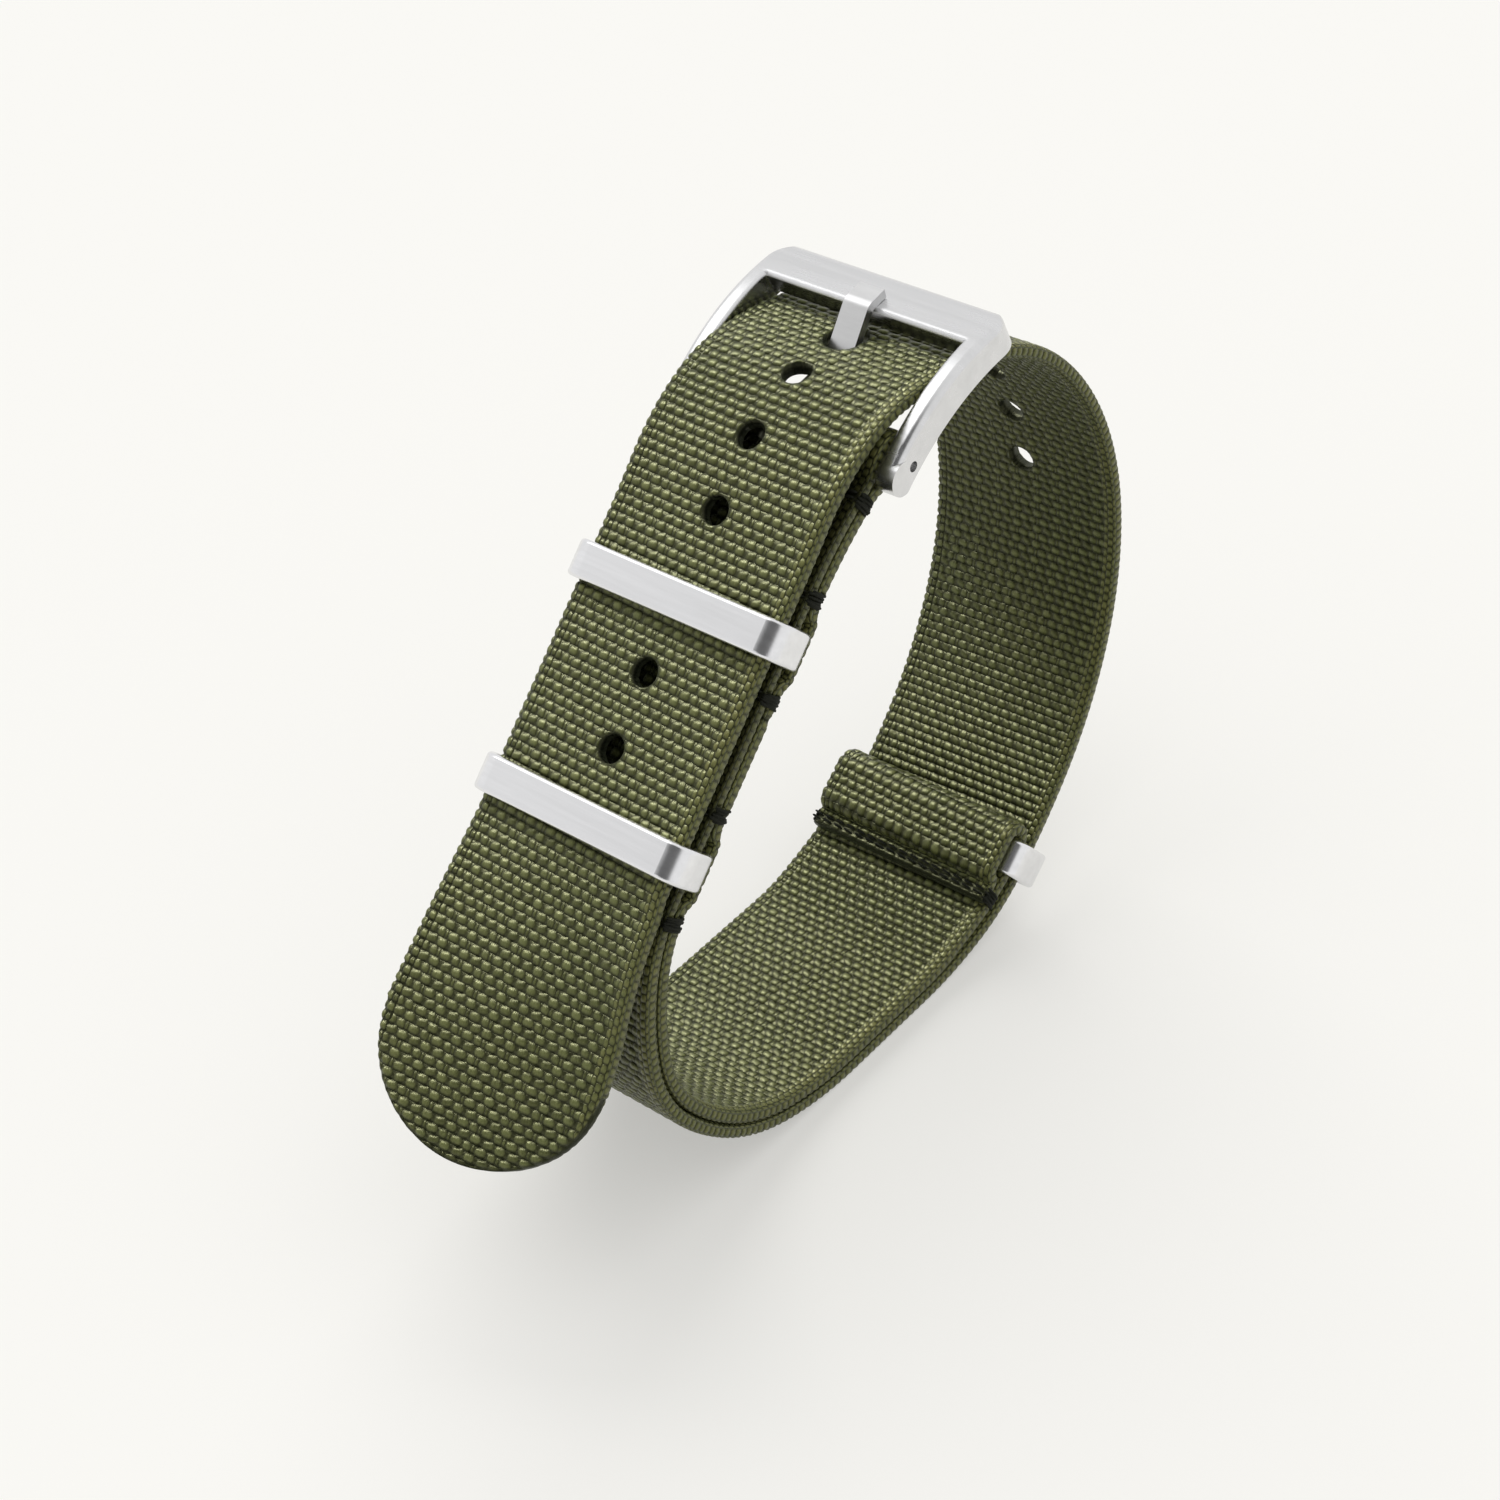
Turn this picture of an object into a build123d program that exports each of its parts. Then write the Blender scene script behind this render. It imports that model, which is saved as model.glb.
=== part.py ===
from build123d import *
import math
import os

# A one-piece pass-through watch strap of woven webbing, buckled into a loop and standing on a table.
# X and Z are the plane of the loop, Z up; Y is the strap's width. Millimetres and degrees.
# The loop is a path seen from the near edge: it runs down the base, round the bottom and up the far side,
# so a positive side step from the path points into the loop.

# Webbing
strap_width = 20.0
webbing = 1.3
ply_gap = 0.04
tail_gap = 0.5
edge_clear = 0.35

# Loop, over the outer faces of the webbing, with places as shares of its width and height
loop_width = 66.0
loop_height = 62.1
bar_place_share = (0.077, 0.9275)
foot_share = (-0.112, 0.045)
ring_share = (0.274, 0.084)
right_low_share = (0.371, 0.176)
right_share = 0.533
right_mid_share = 0.564
right_high_share = (0.418, 0.865)
hump_share = 0.114
shoulder_share = (-0.010, 0.9428)
bend_left_share = (-0.447, 0.314)
bend_low_share = (-0.3455, 0.106)

# Headings of the path
bar_heading = 202.5
base_heading = 222.5
bend_left_heading = 270.0
bend_low_heading = 318.0
foot_heading = 360.0
ring_heading = 398.0
right_low_heading = 406.0
right_heading = 450.0
right_high_heading = 491.0
hump_heading = 540.0
shoulder_heading = 575.0
tail_droop = 5.0
full_turn = 360.0
half_turn = 180.0
quarter_turn = 90.0

# Sewn base, measured along the seam between its two layers from the hinge bar
base_bend = 12.2
base_straight = 26.0
row_a = 4.4
upper_rows = 8.4
keeper_upper_rows = 8.5
lap_rows = 9.9
keeper_lower_rows = 9.2
row_b = row_a + upper_rows
row_c = row_b + keeper_upper_rows
row_d = row_c + lap_rows
row_e = row_d + keeper_lower_rows
fold_past_row = 1.6
butt_gap = 0.3

# Free tail
tail_free = 27.0
tail_bend = 18.0

# Eyelets, burned through the tail and the loop
hole_dia = 2.5
hole_pitch = 6.55
tip_to_hole = 35.4
tongue_hole = 7
loop_hole_pitch = 5.95
loop_holes = 6

# Keepers: a flat strip bent to a rounded rectangle
keeper_plate = 0.9
keeper_height = 3.2
keeper_corner = 0.5
keeper_outer_corner = 2.0
keeper_edge = 0.35
keeper_inner_edge = 0.15
keeper_clear = 0.12
keeper_travel = 0.5
pocket_clear = 0.1
pocket_ramp = 1.75

# Ring keeper on the short strap
ring_plate = 0.9
ring_height = 3.3
ring_corner = 0.6
ring_edge = 0.35
ring_clear = 0.35
ring_lift = 0.55
ring_pocket = 0.25
ring_play = 0.45
ring_tuck = 0.4
row_f = 4.9
ring_fold_past_row = 0.9

# Buckle frame, in its own frame: origin on the hinge, X towards the outer bar
frame_tilt = 20.0
frame_gap = 20.4
arm_width = 1.7
frame_reach = 15.2
frame_opening = 10.65
frame_top_radius = 23.0
frame_top_place = (6.4, 2.87)
frame_under_radius = 24.0
frame_under_place = (6.5, -0.1)
end_inset = 0.8
end_height = 0.1
nose_inset = 1.5
nose_reach = 2.8
nose_height = 0.1
frame_corner = 2.6
bar_under = 0.45
frame_bevel = 0.35
frame_edge = 0.7
arm_inner_edge = 0.25

# Spring bar in the buckle's lugs
tube_dia = 1.8
tube_bore = 1.2
tube_wall = 0.4
tube_clear = 0.15
pin_neck_dia = 0.82
pin_body_dia = 1.1
pin_body = 2.4
pin_recess = 0.9
pin_clear = 0.04
pin_seat = 0.02
pin_travel = 1.0
spring_dia = 1.04
spring_bore = 0.6
spring_gap = 0.05
bar_fit = 0.05

# Tongue: a strip wrapped round the spring bar
tongue_width = 2.5
tongue_plate = 0.8
tongue_wrap = 270.0
tongue_rise = 8.0
tongue_run = 5.36
tongue_climb = 44.0
tongue_bend = 1.2
tongue_slope_run = 4.46
tongue_tip_bend = 0.9
tongue_tip_rise = 10.0
tongue_tip = 1.6
tongue_slot_clear = 0.25
tongue_hole_long = 0.8
notch_clear = 0.2
notch_share = 0.8

# Stitch rows: a band of thread round the sewn layers
thread_band = 0.8
thread = 0.3
thread_seat = 0.02

overrun = 1.0
tiny = 1e-9
tiny_step = 1e-3


def vector(angle):
    return math.cos(math.radians(angle)), math.sin(math.radians(angle))


def arc_to(start, end):
    """The arc that leaves start along its heading and reaches the point end."""
    tx, tz = vector(start[2])
    cx, cz = end[0] - start[0], end[1] - start[1]
    cross = tx * cz - tz * cx
    dot = tx * cx + tz * cz
    chord = math.hypot(cx, cz)
    bend = 2 * cross / chord ** 2
    turn = 2 * math.atan2(cross, dot)
    length = chord if abs(bend) < tiny else turn / bend
    return start[0], start[1], start[2], length, bend


def piece_end(piece, along, side=0.0):
    """The place and heading at a distance along one piece, stepped to its left."""
    x, z, angle, _, bend = piece
    turned = angle + math.degrees(bend * along)
    tx, tz = vector(angle)
    ux, uz = vector(turned)
    if abs(bend) < tiny:
        px, pz = x + tx * along, z + tz * along
    else:
        px, pz = x + (uz - tz) / bend, z - (ux - tx) / bend
    return px - uz * side, pz + ux * side, turned


class Path:
    """A flat path of straight lines and arcs: each piece is x, z, heading, length and curvature."""

    def __init__(self, pieces):
        self.pieces = pieces
        self.length = sum(piece[3] for piece in pieces)

    def at(self, along, side=0.0):
        for piece in self.pieces[:-1]:
            if along <= piece[3]:
                return piece_end(piece, along, side)
            along -= piece[3]
        return piece_end(self.pieces[-1], along, side)

    def part(self, first, last):
        """The stretch between two distances along the path."""
        kept, run = [], 0.0
        for piece in self.pieces:
            low = max(first - run, 0.0)
            high = min(last - run, piece[3])
            if high - low > tiny:
                x, z, angle = piece_end(piece, low)
                kept.append((x, z, angle, high - low, piece[4]))
            run += piece[3]
        return Path(kept)

    def shifted(self, side):
        """The same path, stepped to its left."""
        moved = []
        for piece in self.pieces:
            scale = 1.0 - piece[4] * side
            x, z, angle = piece_end(piece, 0.0, side)
            moved.append((x, z, angle, piece[3] * scale, piece[4] / scale))
        return Path(moved)

    def __add__(self, other):
        return Path(self.pieces + other.pieces)


def through(knots):
    """Two arcs from each knot to the next; a knot is x, z and heading."""
    pieces = []
    for a, b in zip(knots, knots[1:]):
        ax, az = vector(a[2])
        bx, bz = vector(b[2])
        vx, vz = b[0] - a[0], b[1] - a[1]
        reach = vx * vx + vz * vz
        along = vx * (ax + bx) + vz * (az + bz)
        spread = 2 * (1 - ax * bx - az * bz)
        if spread < tiny:
            leg = reach / (2 * along)
        else:
            leg = (math.sqrt(along ** 2 + spread * reach) - along) / spread
        middle = ((a[0] + leg * ax + b[0] - leg * bx) / 2, (a[1] + leg * az + b[1] - leg * bz) / 2)
        first = arc_to(a, middle)
        joint = piece_end(first, first[3])
        pieces += [first, arc_to(joint, b)]
    return Path(pieces)


def bends(start, moves):
    """A path from a start knot and moves of length and turn."""
    pieces = []
    knot = start
    for length, turn in moves:
        pieces.append((knot[0], knot[1], knot[2], length, math.radians(turn) / length))
        knot = piece_end(pieces[-1], length)
    return Path(pieces)


def turned_back(knot):
    """The same place, facing the other way."""
    return knot[0], knot[1], knot[2] - half_turn


def point(knot):
    return Vector(knot[0], 0, knot[1])


def side_edges(path):
    edges = []
    for piece in path.pieces:
        start, middle, end = (point(piece_end(piece, piece[3] * share)) for share in (0, 0.5, 1))
        if abs(piece[4]) < tiny:
            edges.append(Edge.make_line(start, end))
        else:
            edges.append(Edge.make_three_point_arc(start, middle, end))
    return edges


def ribbon(path, thickness, width):
    """A strip that follows the path, with its width along Y."""
    left = side_edges(path.shifted(thickness / 2))
    right = side_edges(path.shifted(-thickness / 2))
    first_cap = Edge.make_line(left[0] @ 0, right[0] @ 0)
    last_cap = Edge.make_line(left[-1] @ 1, right[-1] @ 1)
    face = Face(Wire(left + [last_cap] + right + [first_cap]))
    return extrude(face, amount=width / 2, dir=(0, 1, 0), both=True)


def crosswise(knot):
    """A plane on the path with X along the width, Y into the loop and Z along the path."""
    tx, tz = vector(knot[2])
    return Plane(origin=point(knot), x_dir=(0, 1, 0), z_dir=(tx, 0, tz))


def on_face(knot):
    """A plane on the path with X along the path, Y along the width and Z out of the loop."""
    tx, tz = vector(knot[2])
    return Plane(origin=point(knot), x_dir=(tx, 0, tz), z_dir=(tz, 0, -tx))


def place(share):
    return share[0] * loop_width, share[1] * loop_height


# The paths of the layers

half_ply = (webbing + ply_gap) / 2
bar_x, bar_z = place(bar_place_share)
bar_knot = (bar_x, bar_z, bar_heading)

foot_z = webbing + ply_gap / 2
ring_x, ring_z = place(ring_share)
mean_turn = (bar_heading + base_heading) / 2
base_chord = (vector(mean_turn)[0] * base_bend, vector(mean_turn)[1] * base_bend)
base_top = (bar_x + base_chord[0], bar_z + base_chord[1], base_heading)
base_low = piece_end((*base_top, base_straight, 0.0), base_straight)
seam = through([
    bar_knot,
    base_top,
    base_low,
    (*place(bend_left_share), bend_left_heading),
    (*place(bend_low_share), bend_low_heading),
    (foot_share[0] * loop_width, foot_z, foot_heading),
    (foot_share[1] * loop_width, foot_z, foot_heading),
])
ring_knot = (ring_x, ring_z, ring_heading)
foot_end = seam.at(seam.length)
outer_base = seam.shifted(-half_ply)
outer_low = through([outer_base.at(outer_base.length), ring_knot])

bar_wrap = tube_dia / 2 + bar_fit + webbing / 2
fold_start = row_a - thread_band
stack_clear = ply_gap / 2 + webbing + tail_gap + webbing / 2
arch_start = seam.pieces[0][3] + seam.pieces[1][3]
base_end = arch_start + base_straight

pocket_rise = keeper_plate + 2 * pocket_clear - ply_gap / 2
keeper_upper_at = (row_b + row_c) / 2
keeper_lower_at = (row_d + row_e) / 2
pocket_half = keeper_height / 2 + keeper_travel


def pocket(centre, side):
    """Knots of the inner layer as it passes over a keeper's back bar, from the seam."""
    lifted = side + pocket_rise
    return [
        seam.at(centre - pocket_half - pocket_ramp, side),
        seam.at(centre - pocket_half, lifted),
        seam.at(centre + pocket_half, lifted),
        seam.at(centre + pocket_half + pocket_ramp, side),
    ]


def long_path():
    """The long strap's middle, from its folded end round the bar and the loop to the tip."""
    fold_end = seam.at(row_c + fold_past_row, half_ply)
    fold = [turned_back(fold_end)]
    fold += [turned_back(knot) for knot in reversed(pocket(keeper_upper_at, half_ply))]
    fold += [turned_back(seam.at(fold_start, half_ply)), turned_back(seam.at(0.0, bar_wrap))]
    fx, fz = vector(bar_heading - half_turn)
    fold += [
        (bar_x + fx * bar_wrap, bar_z + fz * bar_wrap, bar_heading - quarter_turn),
        seam.at(0.0, -bar_wrap),
        seam.at(fold_start, -half_ply),
    ]
    base = outer_base.part(seam_to_outer(fold_start), outer_base.length)
    loop = through([
        ring_knot,
        (*place(right_low_share), right_low_heading),
        (right_share * loop_width - webbing / 2, right_mid_share * loop_height, right_heading),
        (*place(right_high_share), right_high_heading),
        (hump_share * loop_width, loop_height - webbing / 2, hump_heading),
        (*place(shoulder_share), shoulder_heading),
        tail_knot(arch_start),
        tail_knot(base_end),
    ])
    droop = bends(tail_knot(base_end), [(tail_bend, tail_droop), (tail_free - tail_bend, 0.0)])
    return through(fold) + base + outer_low + loop + droop


def seam_to_outer(along):
    """The distance along the outer layer that lies over a distance along the seam."""
    outer, run = 0.0, 0.0
    for piece, over in zip(seam.pieces, outer_base.pieces):
        if along <= run + piece[3]:
            return outer + (along - run) * over[3] / piece[3]
        run += piece[3]
        outer += over[3]
    return outer


def tail_knot(along):
    """A knot of the tail where it lies over a place on the base."""
    x, z, angle = seam.at(along, -stack_clear)
    return x, z, angle + full_turn


short_side = half_ply
ring_side = webbing / 2 + ring_lift + webbing / 2
inner_low = outer_low.shifted(ring_side)
ring_bar_side = ring_side + webbing / 2 + ring_pocket + ring_plate / 2
ring_fold_side = 2 * ring_bar_side - ring_side
ring_fold_radius = (ring_fold_side - ring_side) / 2
lapped_side = ring_side + webbing + ply_gap


def at_ring(back, side):
    """A knot at a distance back from the ring, stepped into the loop from the long strap's middle."""
    return outer_low.at(outer_low.length - back, side)


def past_ring(ahead, side):
    x, z, angle = ring_knot
    tx, tz = vector(angle)
    return x + tx * ahead - tz * side, z + tz * ahead + tx * side, angle


def short_path():
    """The short strap's middle, from its sewn end round the bottom to its fold on the ring's inner bar."""
    start = row_c + fold_past_row + butt_gap
    sewn = [seam.at(start, short_side)] + pocket(keeper_lower_at, short_side)
    after = keeper_lower_at + pocket_half + pocket_ramp
    inner = seam.shifted(short_side)
    run, scaled = 0.0, 0.0
    for piece, under in zip(seam.pieces, inner.pieces):
        share = min(max((after - run) / piece[3], 0.0), 1.0)
        scaled += share * under[3]
        run += piece[3]
    bottom = inner.part(scaled, inner.length)
    reach = ring_height / 2 + ring_play
    ahead = ring_height / 2 - ring_tuck
    fold = through([
        bottom.at(bottom.length),
        at_ring(row_f + reach, ring_side),
        at_ring(reach, ring_side),
        past_ring(ahead, ring_side),
        turned(past_ring(ahead + ring_fold_radius, ring_bar_side), quarter_turn),
        turned(past_ring(ahead, ring_fold_side), half_turn),
        turned(at_ring(reach, ring_fold_side), half_turn),
        turned(at_ring(row_f - ring_fold_past_row, lapped_side), half_turn),
        turned(at_ring(row_f + ring_fold_past_row, lapped_side), half_turn),
    ])
    return through(sewn) + bottom + fold


def turned(knot, angle):
    return knot[0], knot[1], knot[2] + angle


strap_line = long_path()
short_line = short_path()


def station(place_from_tip):
    return strap_line.at(strap_line.length - place_from_tip)


def hole_stations():
    """Distances of the holes from the tail's tip."""
    places = [tip_to_hole + hole_pitch * count for count in range(tongue_hole)]
    places += [places[-1] + loop_hole_pitch * (count + 1) for count in range(loop_holes)]
    return places


def slot_shape(length, width, depth):
    """A round-ended slot along X, centred, with its depth along Z."""
    return extrude(SlotCenterToCenter(length, width), amount=depth / 2, both=True)


def tail_corners():
    """What is cut away so that the tail ends in a half circle."""
    radius = strap_width / 2
    end = station(radius)
    deep = webbing + 2 * overrun
    block = Pos(X=(radius + overrun) / 2) * Box(radius + overrun, strap_width + 2 * overrun, deep)
    return on_face(end) * (block - Cylinder(radius, deep + overrun))


def long_strap():
    solid = ribbon(strap_line, webbing, strap_width)
    deep = webbing + 2 * overrun
    stations = hole_stations()
    for count, distance in enumerate(stations, start=1):
        plane = on_face(station(distance))
        if count == tongue_hole:
            width = tongue_width + 2 * tongue_slot_clear
            solid -= plane * slot_shape(tongue_hole_long, width, deep)
        else:
            solid -= plane * Cylinder(hole_dia / 2, deep)
    solid -= tail_corners()
    notch_front = bar_wrap + webbing / 2 + notch_clear
    notch_back = (row_a - thread_band / 2) * notch_share
    notch = Box(notch_front + notch_back, tongue_width + 2 * tongue_slot_clear, 2 * notch_front)
    solid -= on_face(bar_knot) * (Pos(X=(notch_back - notch_front) / 2) * notch)
    return solid


def keeper(inner_depth, plate, height, corners, edges):
    """A strip bent to a rounded rectangle, with its height along Z; corners and edges are inner and outer."""
    inner_width = strap_width + 2 * edge_clear
    outer = RectangleRounded(inner_width + 2 * plate, inner_depth + 2 * plate, corners[1])
    inner = RectangleRounded(inner_width, inner_depth, corners[0])
    band = extrude(outer - inner, amount=height / 2, both=True)
    rims = band.faces().sort_by(Axis.Z)
    band = fillet(rims[0].outer_wire().edges() + rims[-1].outer_wire().edges(), edges[1])
    rims = band.faces().sort_by(Axis.Z)
    return fillet(rims[0].inner_wires()[0].edges() + rims[-1].inner_wires()[0].edges(), edges[0])


def base_keeper(along):
    """A keeper round the tail and the base's outer layer, its back bar in the pocket behind."""
    front = stack_clear + webbing / 2 + keeper_clear
    back = pocket_clear - ply_gap / 2
    depth = front + back
    corners = (keeper_corner, keeper_outer_corner)
    loop = keeper(depth, keeper_plate, keeper_height, corners, (keeper_inner_edge, keeper_edge))
    return crosswise(seam.at(along, (back - front) / 2)) * loop


def ring():
    front = webbing / 2 + ring_clear
    back = ring_bar_side - ring_plate / 2
    corners = (ring_corner, ring_corner + ring_plate)
    loop = keeper(front + back, ring_plate, ring_height, corners, (ring_edge, ring_edge))
    return crosswise(past_ring(0.0, (back - front) / 2)) * loop


frame_plane = Plane(
    origin=point(bar_knot),
    x_dir=(vector(frame_tilt)[0], 0, vector(frame_tilt)[1]),
    z_dir=(-vector(frame_tilt)[1], 0, vector(frame_tilt)[0]),
)


def arch(x, place_top, radius):
    """Height at x of a round arch, from its highest place and its radius."""
    return place_top[1] - radius + math.sqrt(radius ** 2 - (x - place_top[0]) ** 2)


def frame_side():
    """The frame's side outline: arched top and underside, rounded nose and outer end."""
    end_x = frame_reach - end_inset
    nose_x = -nose_inset
    top_x = (nose_x, frame_top_place[0], end_x)
    top = [(x, arch(x, frame_top_place, frame_top_radius)) for x in top_x]
    under_x = (end_x, frame_under_place[0], nose_x)
    under = [(x, arch(x, frame_under_place, frame_under_radius)) for x in under_x]
    corners = [
        top,
        [top[-1], (frame_reach, end_height), under[0]],
        under,
        [under[-1], (-nose_reach, nose_height), top[0]],
    ]
    edges = [Edge.make_three_point_arc(*[Vector(x, 0, z) for x, z in arc]) for arc in corners]
    return Face(Wire(edges))


def buckle_frame():
    width = frame_gap + 2 * arm_width
    tall = 2 * frame_reach
    side = extrude(frame_side(), amount=width / 2, dir=(0, 1, 0), both=True)
    length = frame_reach + nose_reach + frame_corner
    plan = RectangleRounded(length, width, frame_corner)
    side &= Pos(X=frame_reach - length / 2) * extrude(plan, amount=tall / 2, both=True)
    opening_long = frame_opening + nose_reach + overrun
    side -= Pos(X=frame_opening - opening_long / 2) * Box(opening_long, frame_gap, tall)
    under_long = frame_reach - frame_opening + 2 * overrun
    under_middle = frame_opening + under_long / 2 - overrun
    side -= Pos(X=under_middle, Z=bar_under - tall / 2) * Box(under_long, frame_gap, tall)
    side -= frame_bevel_cut()
    side = fillet([edge for edge in side.edges() if on_arch(edge) and is_outer(edge)], frame_edge)
    side = fillet([edge for edge in side.edges() if on_arch(edge) and is_arm_inner(edge)], arm_inner_edge)
    side -= Rot(X=quarter_turn) * Cylinder(pin_neck_dia / 2 + pin_clear, width + overrun)
    return frame_plane * side


def on_arch(edge):
    """Whether an edge of the frame, in its own frame, lies on the arched top."""
    centre_z = frame_top_place[1] - frame_top_radius
    spots = [edge @ share for share in (0, 0.5, 1)]
    reach = [math.hypot(spot.X - frame_top_place[0], spot.Z - centre_z) for spot in spots]
    return all(abs(distance - frame_top_radius) < tiny_step for distance in reach)


def is_outer(edge):
    middle = edge @ 0.5
    on_side = abs(middle.Y) > frame_gap / 2 + arm_width - tiny_step
    return on_side or middle.X > frame_reach - frame_corner


def is_arm_inner(edge):
    middle = edge @ 0.5
    return abs(abs(middle.Y) - frame_gap / 2) < tiny_step and middle.X < frame_opening


def frame_bevel_cut():
    """The bevel along the outer bar's inner top edge."""
    top = arch(frame_opening, frame_top_place, frame_top_radius)
    size = frame_bevel * math.sqrt(2)
    block = Rot(Y=quarter_turn / 2) * Box(size, frame_gap, size)
    return Pos(X=frame_opening, Z=top) * block


def bar_tube():
    length = frame_gap - 2 * tube_clear
    tube = Cylinder(tube_dia / 2, length)
    tube -= Cylinder(tube_bore / 2, length - 2 * tube_wall)
    tube -= Cylinder(pin_neck_dia / 2 + pin_clear, length + overrun)
    return frame_plane * (Rot(X=quarter_turn) * tube)


def bar_pin(side):
    """One end pin: its body in the tube, its neck out through the tube's end into the lug."""
    body_end = frame_gap / 2 - tube_clear - tube_wall - pin_seat
    neck_end = frame_gap / 2 + arm_width - pin_recess
    body = Pos(Z=body_end - pin_body / 2) * Cylinder(pin_body_dia / 2, pin_body)
    neck = Pos(Z=(body_end + neck_end) / 2) * Cylinder(pin_neck_dia / 2, neck_end - body_end)
    return frame_plane * (Rot(X=side * quarter_turn) * (body + neck))


def bar_spring():
    """The coil between the pins, as a plain sleeve."""
    taken = tube_clear + tube_wall + pin_seat + pin_body + pin_travel + spring_gap
    length = frame_gap - 2 * taken
    sleeve = Cylinder(spring_dia / 2, length) - Cylinder(spring_bore / 2, length)
    return frame_plane * (Rot(X=quarter_turn) * sleeve)


def tongue():
    """A strip wrapped round the spring bar that rises through a hole and lies on the outer bar."""
    radius = tube_dia / 2 + bar_fit + tongue_plate / 2
    first = tongue_rise + quarter_turn + tongue_wrap
    fx, fz = vector(first)
    start = (bar_x + fx * radius, bar_z + fz * radius, first - quarter_turn)
    moves = [
        (math.radians(tongue_wrap) * radius, -tongue_wrap),
        (tongue_run, 0.0),
        (math.radians(tongue_climb) * tongue_bend, tongue_climb),
        (tongue_slope_run, 0.0),
        (math.radians(tongue_rise + tongue_climb - tongue_tip_rise) * tongue_tip_bend,
         tongue_tip_rise - tongue_rise - tongue_climb),
        (tongue_tip, 0.0),
    ]
    return ribbon(bends(start, moves), tongue_plate, tongue_width)


def stitch_band(knot, low, high):
    """A band of thread round layers that lie between two side steps from a knot's path."""
    width = strap_width + 2 * thread_seat
    deep = high - low + 2 * thread_seat
    outer = RectangleRounded(width + 2 * thread, deep + 2 * thread, thread)
    band = extrude(outer - Rectangle(width, deep), amount=thread_band / 2, both=True)
    tx, tz = vector(knot[2])
    middle = (low + high) / 2
    return crosswise((knot[0] - tz * middle, knot[1] + tx * middle, knot[2])) * band


def base_row(along):
    reach = webbing + ply_gap / 2
    return stitch_band(seam.at(along), -reach, reach)


def ring_row():
    low = ring_side - webbing / 2
    return stitch_band(at_ring(row_f, 0.0), low, lapped_side + webbing / 2)


parts = {
    "long_strap": long_strap(),
    "short_strap": ribbon(short_line, webbing, strap_width),
    "buckle_frame": buckle_frame(),
    "tongue": tongue(),
    "bar_tube": bar_tube(),
    "bar_pin_near": bar_pin(1),
    "bar_pin_far": bar_pin(-1),
    "bar_spring": bar_spring(),
    "keeper_upper": base_keeper(keeper_upper_at),
    "keeper_lower": base_keeper(keeper_lower_at),
    "ring_keeper": ring(),
    "stitch_row_a": base_row(row_a),
    "stitch_row_b": base_row(row_b),
    "stitch_row_c": base_row(row_c),
    "stitch_row_d": base_row(row_d),
    "stitch_row_e": base_row(row_e),
    "stitch_row_f": ring_row(),
}

strap_box = parts["long_strap"].bounding_box()
centring = Pos(X=-(strap_box.min.X + strap_box.max.X) / 2)

os.makedirs("parts", exist_ok=True)
for name, solid in parts.items():
    export_step(centring * solid, f"parts/{name}.step")
print("shift of the loop's own origin to the box's centre:", round(centring.position.X, 4))
print("length of the long strap:", round(strap_line.length, 2))
print("length of the short strap:", round(short_line.length, 2))
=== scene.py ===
import math

import bmesh
import bpy
import numpy as np
from mathutils import Matrix, Vector


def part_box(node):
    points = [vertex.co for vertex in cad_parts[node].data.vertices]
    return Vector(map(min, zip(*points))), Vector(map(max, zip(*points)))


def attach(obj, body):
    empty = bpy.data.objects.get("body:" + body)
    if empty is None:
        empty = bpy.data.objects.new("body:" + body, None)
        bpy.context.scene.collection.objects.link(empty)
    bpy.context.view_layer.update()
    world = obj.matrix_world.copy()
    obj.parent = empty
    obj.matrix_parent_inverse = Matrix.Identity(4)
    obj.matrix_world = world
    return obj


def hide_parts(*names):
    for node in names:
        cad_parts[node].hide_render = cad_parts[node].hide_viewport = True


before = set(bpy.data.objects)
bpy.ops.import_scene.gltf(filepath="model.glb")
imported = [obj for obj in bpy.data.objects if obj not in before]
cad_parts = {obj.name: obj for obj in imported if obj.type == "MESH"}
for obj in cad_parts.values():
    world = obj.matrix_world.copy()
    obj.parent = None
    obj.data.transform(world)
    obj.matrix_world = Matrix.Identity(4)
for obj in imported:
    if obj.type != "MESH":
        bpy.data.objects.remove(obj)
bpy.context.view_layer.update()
MM = 0.001
TINY = 1e-9

# The strap's routes: lines and arcs in the plane of the loop, in millimetres, as in the CAD model.
# A knot is x, z and a heading in degrees. A piece is a knot, a length and a bend, in radians per millimetre.

WIDTH = 20.0
WEB = 1.3
PLY = 0.04
HALF_PLY = (WEB + PLY) / 2
LOOP_W = 66.0
LOOP_H = 62.1

# The spring bar, the sewn base under it, and the free tail over the base.

BAR = (0.077 * LOOP_W, 0.9275 * LOOP_H, 202.5)
TUBE_RADIUS = 0.9
BAR_FIT = 0.05
BAR_WRAP = TUBE_RADIUS + BAR_FIT + WEB / 2
BASE_HEADING = 222.5
BASE_BEND = 12.2
BASE_STRAIGHT = 26.0
TAIL_GAP = 0.5
TAIL_FREE = 27.0
TAIL_BEND = 18.0
TAIL_DROOP = 5.0

# The pockets of the two sewn-in keepers, and how far along the base each row of stitches lies.

KEEPER_PLATE = 0.9
KEEPER_H = 3.2
KEEPER_TRAVEL = 0.5
POCKET_CLEAR = 0.1
POCKET_RAMP = 1.75
THREAD_BAND = 0.8
ROW_A = 4.4
ROW_B = 12.8
ROW_C = 21.3
ROW_D = 31.2
ROW_E = 40.4
FOLD_PAST = 1.6

# The two sewn ends overlap a little, so that no light shows between them. The solids leave a gap there.

BUTT_GAP = -0.12

# The short strap's fold round the ring keeper. Row F is measured back from the ring.

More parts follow.
